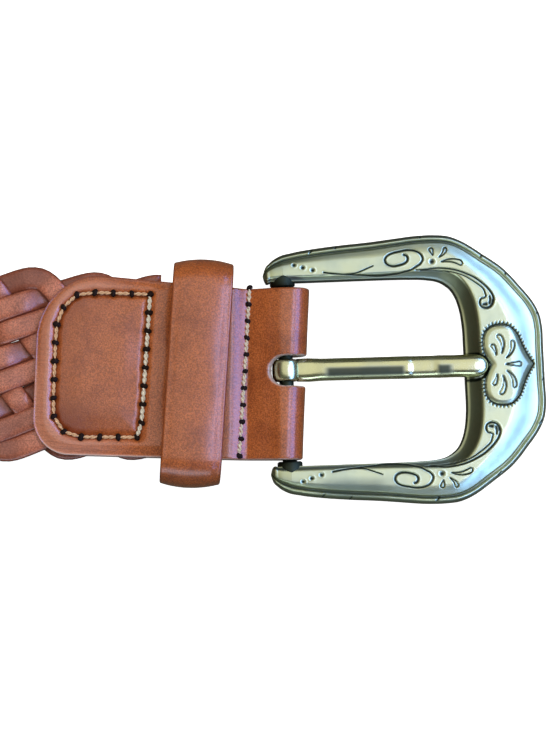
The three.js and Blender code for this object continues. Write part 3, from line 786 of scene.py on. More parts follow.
def chape_rows(line):
    """Rows along the strip: close together where it is sewn, bent, slotted or cut round."""
    steps = lengths_along(line)
    total = steps[-1]
    end = np.concatenate([np.array(EDGE_STEPS[:8]), np.arange(1.5, 14, 0.25)])
    front = int(np.argmax(line[:, 0]))
    slot_start = np.interp(-SLOT_BACK, line[:front, 0], steps[:front])
    slot = slot_start + np.array([-0.02, 0.01, 0.04, 0.09, 0.16, 0.24, 0.34])
    top = np.arange(end[-1] + 0.25, FACE_END, 0.3)
    top = top[(top < slot[0] - 0.05) | (top > slot[-1] + 0.05)]
    top = np.sort(np.concatenate([top, slot]))
    fold = np.arange(FACE_END, FOLD_END, 0.28)
    under = np.arange(FOLD_END, total - end[-1] - 0.9, 1.1)
    return np.concatenate([end, top, fold, under, total - end[::-2]])


chape_hide = leather("chape_hide", CHAPE_TAN, CHAPE_DEEP, CHAPE_PALE, RAW_EDGE_AND_HIGHLIGHT, 0.40, bump=0.45, wax=1.0)
side_view = chape_line()


def chape_top(x):
    """Height of the leather's upper face."""
    front = side_view[: int(np.argmax(side_view[:, 0]))]
    return float(np.interp(x, front[:, 0], front[:, 1])) + HIDE / 2


def outer_relief(x, y, distance):
    """The relief is only on the front layer: past the fold the strip is plain."""
    far_row = int(np.argmax(x[:, 0]))
    made = chape_relief(x, y, distance)
    made[far_row:] = 0
    return made


def outer_tones(x, y, distance):
    """The same for its tones."""
    far_row = int(np.argmax(x[:, 0]))
    dark, pale = chape_tones(x, y, distance)
    dark[far_row:] = 0
    pale[far_row:] = 0
    return dark, pale


chape = leather_strip(
    "chape_strip", side_view, chape_rows(side_view), chape_limits, HIDE, outer_relief, slot_half, outer_tones
)
chape.data.materials.append(chape_hide)
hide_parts("chape")
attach(chape, "strap")

# The stitching: waxed thread of two plies, pulled tight into the leather. It is pale on the seam and the
# patch's near side, and worn tan and thinner beyond. At each hole a dark thread from the other side shows
# as a small knot between two stitches.
PLY = 0.27
PALE_REACH = 31
TAN_WEIGHT = 0.80
PALE_THREAD = (1.0, 0.93, 0.80)
TAN_THREAD = (0.95, 0.62, 0.40)
DARK_THREAD = (0.022, 0.012, 0.010)
TURNS_PER_STITCH = 1.6
STITCH_ROWS = 14
STITCH_SIDES = 6
PATCH_SUNK = 0.22
SEAM_SUNK = 0.10


class Gathered:
    """Points and faces that are gathered into one joined mesh."""

    def __init__(self):
        self.points = []
        self.faces = []

    def add(self, points, faces):
        start = len(self.points)
        self.points.extend(points)
        self.faces.extend([[start + i for i in face] for face in faces])


def sew(start, end, weight, sewing):
    """One stitch of two twisted plies from hole to hole, its ends sunk into the leather."""
    start = np.array(start, float)
    run = np.array(end, float) - start
    length = np.linalg.norm(run)
    ahead = run / length
    side = np.cross(ahead, (0, 0, 1))
    side /= np.linalg.norm(side)
    upward = np.cross(side, ahead)
    t = np.linspace(0.07, 0.93, STITCH_ROWS)
    swell = np.sin(np.pi * np.linspace(0.10, 0.90, STITCH_ROWS)) ** 0.5
    rise = 0.30 * weight * swell - 0.10
    angle = 2 * np.pi * np.arange(STITCH_SIDES) / STITCH_SIDES
    for ply in (0, 1):
        twist = 2 * np.pi * TURNS_PER_STITCH * t + np.pi * ply
        offset = 0.9 * PLY * weight * swell
        middle = start + run * t[:, None] + upward * (rise + offset * np.sin(twist))[:, None]
        middle = middle + side * (offset * np.cos(twist))[:, None]
        radius = (PLY * weight * (0.45 + 0.55 * swell))[:, None, None]
        ring = side * np.cos(angle)[:, None] + upward * np.sin(angle)[:, None]
        rings = middle[:, None] + ring[None] * radius
        sewing.add(rings.reshape(-1, 3), tube_faces(STITCH_ROWS, STITCH_SIDES))


def knot(centre, ahead, size, sewing):
    """The dark thread's little loop at a hole: a flattened bead, longer across the seam."""
    rings = 6
    sides = 8
    ahead = np.array(ahead, float) / np.linalg.norm(ahead)
    side = np.cross(ahead, (0, 0, 1))
    polar = np.linspace(0.12, np.pi - 0.12, rings)
    angle = 2 * np.pi * np.arange(sides) / sides
    points = []
    for p in polar:
        for a in angle:
            points.append(np.array(centre) + side * 0.78 * size * np.cos(p)
                          + ahead * 0.60 * size * np.sin(p) * np.cos(a)
                          + np.array((0, 0, 0.50 * size * np.sin(p) * np.sin(a))))
    sewing.add(points, tube_faces(rings, sides))


def sew_run(holes, height, weight, pale, tan, dark):
    """Stitches and knots along a row of holes. Height gives the leather's face at a place."""
    lifted = [(x, y, height(x)) for x, y in holes]
    for start, end in zip(lifted[:-1], lifted[1:]):
        near = min(start[0], end[0]) > -PALE_REACH
        sew(start, end, weight * (1.0 if near else TAN_WEIGHT), pale if near else tan)
    for i, hole in enumerate(lifted):
        before = lifted[max(i - 1, 0)]
        after = lifted[min(i + 1, len(lifted) - 1)]
        lean = rng.uniform(-0.5, 0.5)
        run = Vector((after[0] - before[0], after[1] - before[1], 0))
        run.rotate(Matrix.Rotation(lean, 3, "Z"))
        knot((hole[0], hole[1], hole[2] + 0.08), run, weight * rng.uniform(0.95, 1.15), dark)


def thread(name, colour, rough):
    """Waxed thread, darker between its fibres."""
    made, tree, shader = new_finish(name)
    where = add_node(tree, "ShaderNodeTexCoord").outputs["Object"]
    fibre = between(tree, noise(tree, where, 5200.0, 2.0, 0.6), 0.35, 0.7)
    darker = tuple(0.72 * c for c in colour)
    tree.links.new(blended(tree, fibre, (*darker, 1), (*colour, 1)), shader.inputs["Base Color"])
    lumps = add_node(tree, "ShaderNodeBump", None, Strength=0.4, Distance=0.0001, Height=fibre)
    tree.links.new(lumps.outputs["Normal"], shader.inputs["Normal"])
    shader.inputs["Roughness"].default_value = rough
    shader.inputs["Specular IOR Level"].default_value = 0.05
    return made


def lay_thread(name, sewing, finish):
    """The gathered stitches or knots of one thread, as one piece of the strap."""
    seam = new_piece(name, place_strap(np.array(sewing.points)), sewing.faces)
    seam.data.materials.append(finish)
    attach(seam, "strap")


rng = random.Random(7)
pale_thread = thread("pale_thread", PALE_THREAD, 0.55)
dark_thread = thread("dark_thread", DARK_THREAD, 0.5)
tan_thread = thread("tan_thread", TAN_THREAD, 0.5)
pale_sewing = Gathered()
tan_sewing = Gathered()
dark_sewing = Gathered()
sew_run(patch_holes, lambda x: chape_top(x) - PATCH_SUNK, 1.0, pale_sewing, tan_sewing, dark_sewing)
sew_run(seam_holes, lambda x: chape_top(x) - SEAM_SUNK, 1.0, pale_sewing, tan_sewing, dark_sewing)
lay_thread("stitches_pale", pale_sewing, pale_thread)
lay_thread("stitches_tan", tan_sewing, tan_thread)
lay_thread("stitches_dark", dark_sewing, dark_thread)

# The keeper: a loop of the same saddle leather round the strap, with a crowned front and rubbed edges,
# for the belt's tip. Its lower run is caught between the two layers of the chape.
KEEPER_SPAN = 45.1
KEEPER_ASIDE = 0.4
KEEPER_SLANT = math.radians(2.0)
KEEPER_ROOM = 4.5
KEEPER_BEND = 4.6
KEEPER_CROWN = 0.9
KEEPER_CORNER = 0.5

keeper_low = BACK_LAYER_LIFT + HIDE / 2
keeper_high = OVER_BRAID + HIDE + KEEPER_ROOM + HIDE / 2
keeper_half = KEEPER_SPAN / 2 - HIDE / 2
keeper_bend = min(KEEPER_BEND, (keeper_high - keeper_low) / 2.02)
flat_half = keeper_half - keeper_bend
keeper_loop, _ = along_line(joined(
    [(0, keeper_low)],
    arc((flat_half, keeper_low + keeper_bend), keeper_bend, -math.pi / 2, 0, 24),
    arc((flat_half, keeper_high - keeper_bend), keeper_bend, 0, math.pi / 2, 24),
    arc((-flat_half, keeper_high - keeper_bend), keeper_bend, math.pi / 2, math.pi, 24),
    arc((-flat_half, keeper_low + keeper_bend), keeper_bend, math.pi, math.pi * 1.5, 24),
    [(0, keeper_low)],
), 0.6)
keeper_loop = keeper_loop[:-1]


def keeper_section():
    """Points round the leather's cut section: place along the belt, outward place, share of the crown."""
    half = KEEPER_WIDTH / 2
    face = np.linspace(-1, 1, 21) * (half - KEEPER_CORNER)
    rows = [(u, HIDE / 2, 1 - (u / half) ** 2) for u in face]
    turned = np.linspace(0, np.pi / 2, 6)[1:]
    rows += [(half - KEEPER_CORNER * (1 - np.sin(t)), HIDE / 2 - KEEPER_CORNER * (1 - np.cos(t)), 0.15)
             for t in turned]
    rows += [(half, -HIDE / 2 + 0.3, 0)]
    rows += [(u, -HIDE / 2, 0.8 * (1 - (u / half) ** 2)) for u in np.linspace(half - 0.2, -half + 0.2, 11)]
    rows += [(-half, -HIDE / 2 + 0.3, 0)]
    rows += [(-half + KEEPER_CORNER * (1 - np.cos(t)), HIDE / 2 - KEEPER_CORNER * (1 - np.sin(t)), 0.15)
             for t in np.linspace(0, np.pi / 2, 6)[:-1]]
    return np.array(rows)


section = keeper_section()
ahead = unit(np.roll(keeper_loop, -1, axis=0) - np.roll(keeper_loop, 1, axis=0))
rise = eased(keeper_loop[:, 1], keeper_low + HIDE, (keeper_low + keeper_high) / 2)
along = np.tile(section[:, 0], (len(keeper_loop), 1))
out = section[:, 1] + KEEPER_CROWN * section[:, 2] * rise[:, None]
across = keeper_loop[:, :1] + ahead[:, 1:] * out
up = keeper_loop[:, 1:] - ahead[:, :1] * out
from_side = KEEPER_WIDTH / 2 - np.abs(section[:, 0])
edge_line = np.exp(-((from_side - 1.0) / 0.22) ** 2) * (section[:, 1] == HIDE / 2)
up = up - 0.10 * edge_line * (rise[:, None] > 0.9) + 0.05 * np.sin(0.31 * across + 0.4 * along)
leaning = -KEEPER_REACH - KEEPER_WIDTH / 2 + along + across * math.tan(KEEPER_SLANT)
loop_points = np.stack([leaning, across - KEEPER_ASIDE, up], -1)
side_share = 0.8 * np.clip((0.5 - from_side) / 0.5, 0, 1)
loop_count = len(keeper_loop)
loop_sides = len(section)
r = np.arange(loop_count)[:, None]
c = np.arange(loop_sides)[None, :]
after_r = (r + 1) % loop_count
after_c = (c + 1) % loop_sides
loop_faces = np.stack([
    r * loop_sides + c,
    after_r * loop_sides + c,
    after_r * loop_sides + after_c,
    r * loop_sides + after_c,
], -1).reshape(-1, 4)
keeper_hide = leather("keeper_hide", CHAPE_TAN, CHAPE_DEEP, CHAPE_PALE, RAW_EDGE_AND_HIGHLIGHT, 0.36, bump=0.5, wax=1.0)
keeper = new_piece(
    "keeper_loop",
    place_strap(loop_points.reshape(-1, 3)),
    loop_faces.tolist(),
    {"shade": np.tile(side_share, loop_count)},
)
keeper.data.materials.append(keeper_hide)
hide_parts("keeper")
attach(keeper, "strap")

# The tip: two layers of the saddle leather with the braid's end held between them. They are sewn face to
# face by one line of tan stitches that runs round a little inside the edge.
TIP_LENGTH = 95
TIP_HOLD = 26
TIP_TAPER = 24
TIP_NOSE = 9
TIP_CLIMB = 5
TIP_INSET = 2.8
TIP_STITCH = 3.8
TIP_WEIGHT = 0.9

belt_end = TIP_MOUTH + TIP_LENGTH
hold = TIP_MOUTH + TIP_HOLD + GAP


def tip_limits(x):
    """The low and high side of both layers: round at the mouth, tapered to a blunt nose."""
    half = STRAP_WIDTH / 2
    mouth = bezier((TIP_MOUTH, half - LOW_CORNER), (TIP_MOUTH, half - CORNER_SOFT * LOW_CORNER),
                   (TIP_MOUTH + CORNER_SOFT * LOW_CORNER, half), (TIP_MOUTH + LOW_CORNER, half), 40)
    nose = bezier((belt_end - TIP_TAPER, half), (belt_end - TIP_TAPER * 0.4, half),
                  (belt_end, half * 0.8), (belt_end, TIP_NOSE / 2), 60)
    outline = joined(mouth, nose)
    high = np.interp(-x, outline[:, 0], outline[:, 1])
    return -high, high


def tip_relief(x, y, distance):
    """A groove under the stitches, a soft edge, and slow lumps."""
    groove = -0.25 * np.exp(-((distance - TIP_INSET) / 0.7) ** 2)
    return groove - 0.35 * (1 - eased(distance, 0, 2.0)) + soft_lumps(x, y)


tip_face_line = joined(
    [(-belt_end, HIDE * 1.5)],
    bezier((-hold - 2 * TIP_CLIMB, HIDE * 1.5), (-hold - TIP_CLIMB, HIDE * 1.5),
           (-hold - TIP_CLIMB, OVER_BRAID + HIDE / 2), (-hold, OVER_BRAID + HIDE / 2), 24),
    [(-TIP_MOUTH, OVER_BRAID + HIDE / 2)],
)
tip_back_line = np.array([(-belt_end, HIDE / 2), (-TIP_MOUTH, HIDE / 2)])
for name, line, relief in (("tip_face", tip_face_line, tip_relief), ("tip_back", tip_back_line, None)):
    total = lengths_along(line)[-1]
    near_end = np.concatenate([np.array(EDGE_STEPS), np.arange(2.6, 24, 0.5)])
    near_mouth = total - np.concatenate([np.array(EDGE_STEPS), np.arange(2.6, 8, 0.5)])[::-1]
    rows = np.concatenate([near_end, np.arange(24.5, near_mouth[0] - 0.3, 0.8), near_mouth])
    layer = leather_strip(name, line, rows, tip_limits, HIDE - 0.04, relief, columns=30)
    layer.data.materials.append(chape_hide)
    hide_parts("tip")
    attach(layer, "strap")

edge_x = np.linspace(-belt_end, -TIP_MOUTH, 300)
edge_y = tip_limits(edge_x)[1]
upper_edge = np.column_stack([edge_x, edge_y])
lower_edge = np.column_stack([edge_x, -edge_y])[::-1]
tip_outline, _ = along_line(joined(upper_edge, lower_edge, upper_edge[:1]), 0.5)
inwards = unit(np.gradient(tip_outline, axis=0)[:, ::-1] * (1, -1))
inset = tip_outline + inwards * TIP_INSET
inset = inset[distance_to(inset, tip_outline) > TIP_INSET - 0.1]
inset = np.vstack([inset, inset[:1]])
inset_length = lengths_along(inset)[-1]
tip_holes, _ = along_line(inset, inset_length / round(inset_length / TIP_STITCH))
tip_sewing = Gathered()
tip_dark = Gathered()


def tip_top(x):
    """Height of the holes in the tip's upper face."""
    return float(np.interp(x, tip_face_line[:, 0], tip_face_line[:, 1])) + HIDE / 2 - 0.2


sew_run(tip_holes, tip_top, TIP_WEIGHT, tip_sewing, tip_sewing, tip_dark)
lay_thread("tip_stitches", tip_sewing, tan_thread)
lay_thread("tip_knots", tip_dark, dark_thread)

# The buckle frame: one bowed casting of antiqued brass, whose two arms are joined by the bar that the
# leather turns on. A rounded rim runs round its edge. Scrolls, drops and a toothed heart are cut into its
# face, and the cuts are left black while the face is rubbed bright.
FRAME_REACH = 54.5
FRAME_HALF = 28.1
WINDOW_REACH = 37.7
WINDOW_HALF = 19.2
ARM_WIDTH = 8.9
CAST_THICKNESS = 5.2
BAR_HEIGHT = 4.1
BAR_RADIUS = 1.5
COLLAR_RADIUS = 2.6
RIM_SIDE = 0.5
GROOVE_WIDTH = 0.30
GROOVE_DEPTH = 0.35
FRONT_DROP = 2.0
CHAMFER_WIDTH = 3.0
CHAMFER_DEPTH = 2.5
EDGE_SOFT = 0.5
FRAME_STEPS = 930
FACE_COLUMNS = 66
PRONG_REACH = 42
PRONG_TIP_WIDTH = 4.9
NOTCH_DEPTH = 1.6
BEVEL_COLUMNS = 11
BAR_SIDES = 40
BAR_DARKNESS = 0.95
RIM_START = 5
# outer edge and inner edge as shares of reach and half width, then shares of fall, bevel and body
FRAME_ROWS = np.array([
    (-0.073, 0.738, -0.100, 1.030, 0.30, 0.28, 0.60),
    (-0.067, 0.776, -0.092, 1.000, 0.30, 0.28, 0.85),
    (-0.047, 0.826, -0.066, 0.997, 0.30, 0.28, 0.97),
    (-0.013, 0.870, -0.018, 0.995, 0.30, 0.28, 1),
    (0.040, 0.897, 0.055, 0.995, 0.25, 0.28, 1),
    (0.115, 0.920, 0.165, 0.996, 0.25, 0.28, 1),
    (0.225, 0.943, 0.325, 0.998, 0.25, 0.28, 1),
    (0.340, 0.961, 0.490, 1.000, 0.25, 0.30, 1),
    (0.440, 0.982, 0.610, 1.000, 0.25, 0.34, 1),
    (0.515, 0.997, 0.708, 0.997, 0.25, 0.42, 1),
    (0.590, 1.000, 0.802, 0.987, 0.28, 0.54, 1),
    (0.648, 0.988, 0.875, 0.958, 0.35, 0.70, 1),
    (0.698, 0.950, 0.926, 0.896, 0.45, 0.86, 1),
    (0.778, 0.850, 0.965, 0.786, 0.60, 0.98, 1),
    (0.857, 0.738, 0.986, 0.654, 0.75, 1.04, 1),
    (0.922, 0.598, 0.996, 0.520, 0.90, 1.02, 1),
    (0.972, 0.470, 1.000, 0.390, 1, 1, 1),
    (0.992, 0.385, 1.000, 0.300, 1, 1, 1),
    (1.000, 0.290, 1.000, 0.225, 1, 1, 1),
    (1.000, 0.145, 1.000, 0.113, 1, 1, 1),
    (1.000, 0.000, 1.000, 0.000, 1, 1, 1),
])
BRASS = (0.51, 0.53, 0.29)
BRASS_DARK = (0.020, 0.024, 0.012)
# The ornament of the upper arm, in millimetres, which the lower arm mirrors
ORNAMENT_LEAN = 0.006
CUT_DEPTH = 0.26
DOTS = [(2.4, 22.4, 0.30), (4.2, 21.8, 0.30), (6.25, 21.2, 0.30), (31.3, 22.1, 0.38)]
LINES = [
    # half widths at the start and at the end, then the points it runs through
    (0.16, 0.14, [(8.6, 20.65), (10.5, 20.35), (13.0, 20.1)]),
    (0.14, 0.11, [(13.0, 20.1), (15.3, 20.3), (17.1, 20.95), (18.9, 21.65)]),
    (0.13, 0.18, [(13.0, 20.1), (16.4, 19.85), (20.2, 19.6), (24.0, 19.85)]),
    (0.17, 0.20, [(24.0, 19.85), (25.6, 20.2), (26.8, 20.5), (27.8, 21.1), (28.9, 21.8), (29.4, 22.7),
                  (29.2, 23.4), (28.5, 24.2), (27.6, 24.6), (26.2, 24.75), (24.3, 24.45), (22.8, 24.1),
                  (21.8, 23.5), (21.45, 22.8), (21.7, 22.05), (22.4, 21.6), (23.3, 21.45), (24.4, 21.6),
                  (25.4, 21.9), (26.1, 22.4), (26.25, 23.0), (25.95, 23.6), (25.45, 23.75)]),
    (0.12, 0.20, [(27.9, 20.45), (30.0, 20.5), (32.0, 20.7), (34.0, 20.6), (36.5, 20.1), (38.5, 19.3),
                  (40.2, 18.4), (41.6, 17.3), (42.7, 16.2), (43.6, 14.9), (43.9, 13.7), (43.6, 12.7)]),
    (0.08, 0.13, [(28.8, 20.25), (30.7, 20.35), (32.65, 20.2), (34.55, 19.95), (36.45, 19.5), (37.95, 18.9),
                  (39.45, 17.95), (40.75, 17.0), (41.85, 15.95), (42.2, 15.0)]),
    (0.12, 0.26, [(42.2, 15.0), (42.3, 14.4), (41.9, 14.1), (41.3, 13.95), (41.0, 13.4), (41.0, 12.8),
                  (41.3, 12.3), (41.9, 12.0), (42.6, 12.0), (43.2, 12.3), (43.6, 12.9), (43.75, 13.6)]),
    (0.26, 0.16, [(43.05, 12.9), (43.2, 13.6), (43.1, 14.4)]),
    (0.30, 0.20, [(42.3, 12.75), (41.7, 12.7)]),
]
# pointed end, round end, radius of the round end, how far its middle bends aside
DROPS = [
    ((31.55, 23.45), (31.15, 25.0), 0.42, 0),
    ((32.9, 23.0), (34.4, 25.0), 0.36, -0.25),
    ((33.3, 22.0), (37.7, 21.5), 0.52, 0.45),
]
NICKS = [(29.4, 27.6), (11.5, 26.0), (6.15, 25.2), (42.1, 23.2), (47.2, 19.4), (53.6, 10.9), (54.1, -3.1),
         (53.0, -12.2), (43.6, -22.6), (30.3, -27.3), (12.1, -26.3), (6.45, -25.6)]
HEART = [(42.8, 0), (41.9, 1.6), (41.4, 2.9), (41.2, 4.5), (41.4, 6.0), (42.1, 7.3), (43.3, 8.15),
         (44.6, 8.4), (46.0, 8.35), (47.1, 7.9), (48.0, 7.1), (48.7, 6.2), (49.4, 4.6), (50.1, 3.1),
         (50.9, 1.7), (51.6, 0.65), (52.1, 0)]
TOOTH_PITCH = 0.73
TOOTH_LENGTH = 0.60
PETALS = [
    ((43.85, 2.1), (43.0, 4.2), 0.40, -0.15),
    ((45.1, 2.4), (44.4, 6.2), 0.50, -0.55),
    ((46.05, 1.4), (47.5, 4.9), 0.50, -0.50),
]
FRONT_PETAL = ((45.8, 0), (49.3, 0), 0.50, 0)
# the rim from the outline inwards: place in millimetres, height over the face's edge
RIM = [(0.00, -1.30), (0.10, -0.98), (0.26, -0.62), (0.46, -0.32), (0.64, -0.12), (0.78, -0.02),
       (0.90, 0.02), (1.02, -0.03), (1.12, -0.16), (1.20, -0.34), (1.28, -0.46), (1.38, -0.50)]
FACE_START = RIM_START + len(RIM) + 2
BEVEL_START = FACE_START + FACE_COLUMNS


def smooth_rows(table, at, wanted):
    """Rows between those of a table, on curves that run smoothly through them."""
    slopes = np.gradient(table, at, axis=0)
    i = np.clip(np.searchsorted(at, wanted, side="right") - 1, 0, len(at) - 2)
    step = (at[i + 1] - at[i])[:, None]
    t = ((wanted - at[i])[:, None]) / step
    first = (2 * t ** 3 - 3 * t ** 2 + 1) * table[i] + (t ** 3 - 2 * t ** 2 + t) * step * slopes[i]
    second = (3 * t ** 2 - 2 * t ** 3) * table[i + 1] + (t ** 3 - t ** 2) * step * slopes[i + 1]
    return first + second


def curve_through(points, spacing=0.15):
    """A smooth line through a few points."""
    points = np.array(points, float)
    at = lengths_along(points)
    count = max(2, round(at[-1] / spacing) + 1)
    return smooth_rows(points, at, np.linspace(0, at[-1], count)) if len(points) > 2 else points


def drop_outline(tail, head, radius, bend):
    """A teardrop from its pointed tail to its round head, bent aside, as a closed line."""
    tail = np.array(tail)
    run = np.array(head) - tail
    length = np.linalg.norm(run)
    side = np.array([-run[1], run[0]]) / length
    s = np.concatenate([np.linspace(0, 0.75, 10)[:-1], 1 - 0.25 * (1 - np.linspace(0, 1, 9)) ** 2])
    round_start = 1 - radius / length
    cone = radius * np.clip(s / round_start, 0, 1) ** 0.8
    cap = np.sqrt(np.clip(1 - (np.clip(s - round_start, 0, 1) * length / radius) ** 2, 0, 1))
    half = cone * cap
    axis = tail + run * s[:, None] + side * (bend * np.sin(np.pi * s))[:, None]
    return np.vstack([axis + side * half[:, None], (axis - side * half[:, None])[::-1]])


heart_edge = curve_through(HEART)
heart_outline = np.vstack([heart_edge, heart_edge[::-1] * (1, -1)])


def ornament():
    """Every cut as a line of points with half widths, on both arms and the front."""
    cuts = []
    for y_sign in (1, -1):
        mirror = np.array([1, y_sign])
        for x, y, radius in DOTS:
            cuts.append((np.array([(x - 0.05, y), (x + 0.05, y)]) * mirror, radius, radius))
        for start, end, points in LINES:
            cuts.append((curve_through(points) * mirror, start, end))
        for drop in DROPS:
            cuts.append((drop_outline(*drop) * mirror, 0.12, 0.12))
        for petal in PETALS:
            outline = drop_outline(*petal) * mirror
            half = len(outline) // 2
            cuts.append((outline[half:], 0.13, 0.17))
            cuts.append((outline[:half], 0.07, 0.09))
        edge = heart_edge * mirror
        cuts.append((edge, 0.18, 0.18))
        even, _ = along_line(edge, TOOTH_PITCH)
        normal = unit(np.gradient(even, axis=0)[:, ::-1] * (-y_sign, y_sign))
        for root, out in zip(even[1:-1], normal[1:-1]):
            cuts.append((np.array([root, root + out * TOOTH_LENGTH]), 0.22, 0.07))
    cuts.append((drop_outline(*FRONT_PETAL), 0.12, 0.12))
    for x, y in NICKS:
        cuts.append((np.array([(x - 0.3, y - 0.35), (x + 0.3, y + 0.35)]), 0.16, 0.16))
    return [(line + line[:, :1] * (0, ORNAMENT_LEAN), start, end) for line, start, end in cuts]


def cut_share(x, y, cuts):
    """How far into a cut each place is: 1 in its middle, falling to 0 beside it."""
    best = np.full(x.shape, 1e9)
    for line, start, end in cuts:
        wide = 3 * max(start, end)
        low = line.min(axis=0) - wide
        high = line.max(axis=0) + wide
        near = np.nonzero((x > low[0]) & (x < high[0]) & (y > low[1]) & (y < high[1]))[0]
        if len(near) == 0:
            continue
        spot = np.column_stack([x[near], y[near]])
        widths = np.linspace(start, end, len(line))
        closest = np.full(len(near), 1e9)
        for i in range(len(line) - 1):
            run = line[i + 1] - line[i]
            share = np.clip(((spot - line[i]) @ run) / max(run @ run, 1e-9), 0, 1)
            away = np.linalg.norm(spot - line[i] - share[:, None] * run, axis=1)
            closest = np.minimum(closest, away / (widths[i] + (widths[i + 1] - widths[i]) * share))
        best[near] = np.minimum(best[near], closest)
    return best


def cast_middle(x):
    """Height of the casting's middle, which is bowed up towards the bar."""
    share = np.clip(1 - x / FRAME_REACH, 0, 1)
    return CAST_THICKNESS / 2 + (BAR_HEIGHT - CAST_THICKNESS / 2) * share ** 2


def frame_profile(width, fall, bevel_share, body):
    """Sections of the casting, one a row: places from its outer to its inner edge, and heights."""
    tight = np.minimum(1, width / (ARM_WIDTH * 0.6))
    half = CAST_THICKNESS / 2 * body
    rim_top = half - fall * FRONT_DROP
    bevel = bevel_share * CHAMFER_WIDTH * tight
    foot = half - bevel_share * CHAMFER_DEPTH
    rim = RIM[-1][0] * tight
    groove = GROOVE_WIDTH * tight
    soft = EDGE_SOFT * tight
    parts = []
    for t in np.linspace(0, math.pi / 2, 4):
        parts.append((soft * (1 - math.sin(t)), -half + soft * (1 - math.cos(t))))
    parts.append((0 * width, (rim_top - RIM_SIDE - half) / 2))
    for place_in, rise in RIM:
        parts.append((place_in * tight, rim_top + rise))
    parts.append((rim + groove * 0.25, rim_top - RIM_SIDE))
    parts.append((rim + groove * 0.75, rim_top - RIM_SIDE))
    face_start = rim + groove
    face_end = width - bevel
    for u in np.linspace(0, 1, FACE_COLUMNS):
        along = face_start + (face_end - face_start) * u
        climb = eased(along, face_start - 0.3, np.maximum(width * 0.46, face_start + 0.5))
        shoulder = GROOVE_DEPTH * (1 - np.clip((along - face_start) / 0.35, 0, 1)) ** 2
        brink = 0.18 * np.clip(1 - (face_end - along) / 0.5, 0, 1) ** 2
        parts.append((along, rim_top + (half - rim_top) * climb - shoulder - brink))
    for u in np.linspace(0, 1, BEVEL_COLUMNS + 1)[1:]:
        drop = 1 - (1 - u) ** 1.6
        parts.append((face_end + bevel * u, half - 0.18 - (half - 0.18 - foot) * drop))
    parts.append((width + 0 * foot, foot - 0.3))
    for t in np.linspace(0, math.pi / 2, 4):
        parts.append((width - soft * (1 - math.cos(t)), -half + soft * (1 - math.sin(t))))
    for u in (0.66, 0.33):
        parts.append((width * u, -half))
    along = np.stack([np.broadcast_to(p[0], width.shape) for p in parts], -1)
    height = np.stack([np.broadcast_to(p[1], width.shape) for p in parts], -1)
    return along, height


def lathe_on_bar(profile, sides):
    """A turned shape on the bar's line, from radii and places across."""
    angle = 2 * np.pi * np.arange(sides) / sides
    radius, across = np.array(profile, float).T
    ring = np.stack([
        radius[:, None] * np.cos(angle),
        np.broadcast_to(across[:, None], (len(across), sides)),
        BAR_HEIGHT + radius[:, None] * np.sin(angle),
    ], -1)
    return ring.reshape(-1, 3)


mirrored = FRAME_ROWS[-2::-1] * (1, -1, 1, -1, 1, 1, 1)
table = np.vstack([FRAME_ROWS, mirrored])
reaches = np.array([FRAME_REACH, FRAME_HALF, WINDOW_REACH, WINDOW_HALF])
edges = table[:, :4] * reaches
centre_line = (edges[:, :2] + edges[:, 2:4]) / 2
at = lengths_along(centre_line)
fine = smooth_rows(table, at, np.linspace(0, at[-1], FRAME_STEPS))
edges = fine[:, :4] * reaches
width = np.linalg.norm(edges[:, :2] - edges[:, 2:4], axis=1)
along, height = frame_profile(width, fine[:, 4], fine[:, 5], np.clip(fine[:, 6], 0, 1))
share = along / width[:, None]
x = edges[:, :1] + (edges[:, 2:3] - edges[:, :1]) * share
y = edges[:, 1:2] + (edges[:, 3:4] - edges[:, 1:2]) * share
z = cast_middle(x) + height
top_columns = np.zeros(share.shape, bool)
top_columns[:, RIM_START:BEVEL_START + BEVEL_COLUMNS] = True
near_cut = cut_share(x.ravel(), y.ravel(), ornament()).reshape(x.shape)
cut_in = np.exp(-near_cut ** 2) * top_columns
burr = np.exp(-((near_cut - 1.9) / 0.5) ** 2) * top_columns
flat = np.column_stack([x.ravel(), y.ravel() - ORNAMENT_LEAN * x.ravel()])
in_heart = inside(flat[:, 0], flat[:, 1], heart_outline).reshape(x.shape)
from_heart = distance_to(flat, np.vstack([heart_outline, heart_outline[:1]])).reshape(x.shape)
pillow = -0.30 * (1 - eased(from_heart, 0, 1.1)) * in_heart * top_columns
z = z - CUT_DEPTH * cut_in + 0.035 * burr + pillow
notch_half = PRONG_TIP_WIDTH / 2 + GAP
notch_end = PRONG_REACH + GAP - notch_half
notch_floor = float(cast_middle(PRONG_REACH)) + CAST_THICKNESS / 2 - NOTCH_DEPTH
from_notch = np.where(x > notch_end, np.hypot(x - notch_end, y), np.abs(y)) - notch_half
front_top = top_columns * (x > FRAME_REACH / 2)
in_notch = (1 - eased(from_notch, -0.16, 0.12)) * front_top
z = np.where(z > notch_floor, z + (notch_floor - z) * in_notch, z)
wall = np.exp(-((from_notch + 0.05) / 0.28) ** 2) * front_top
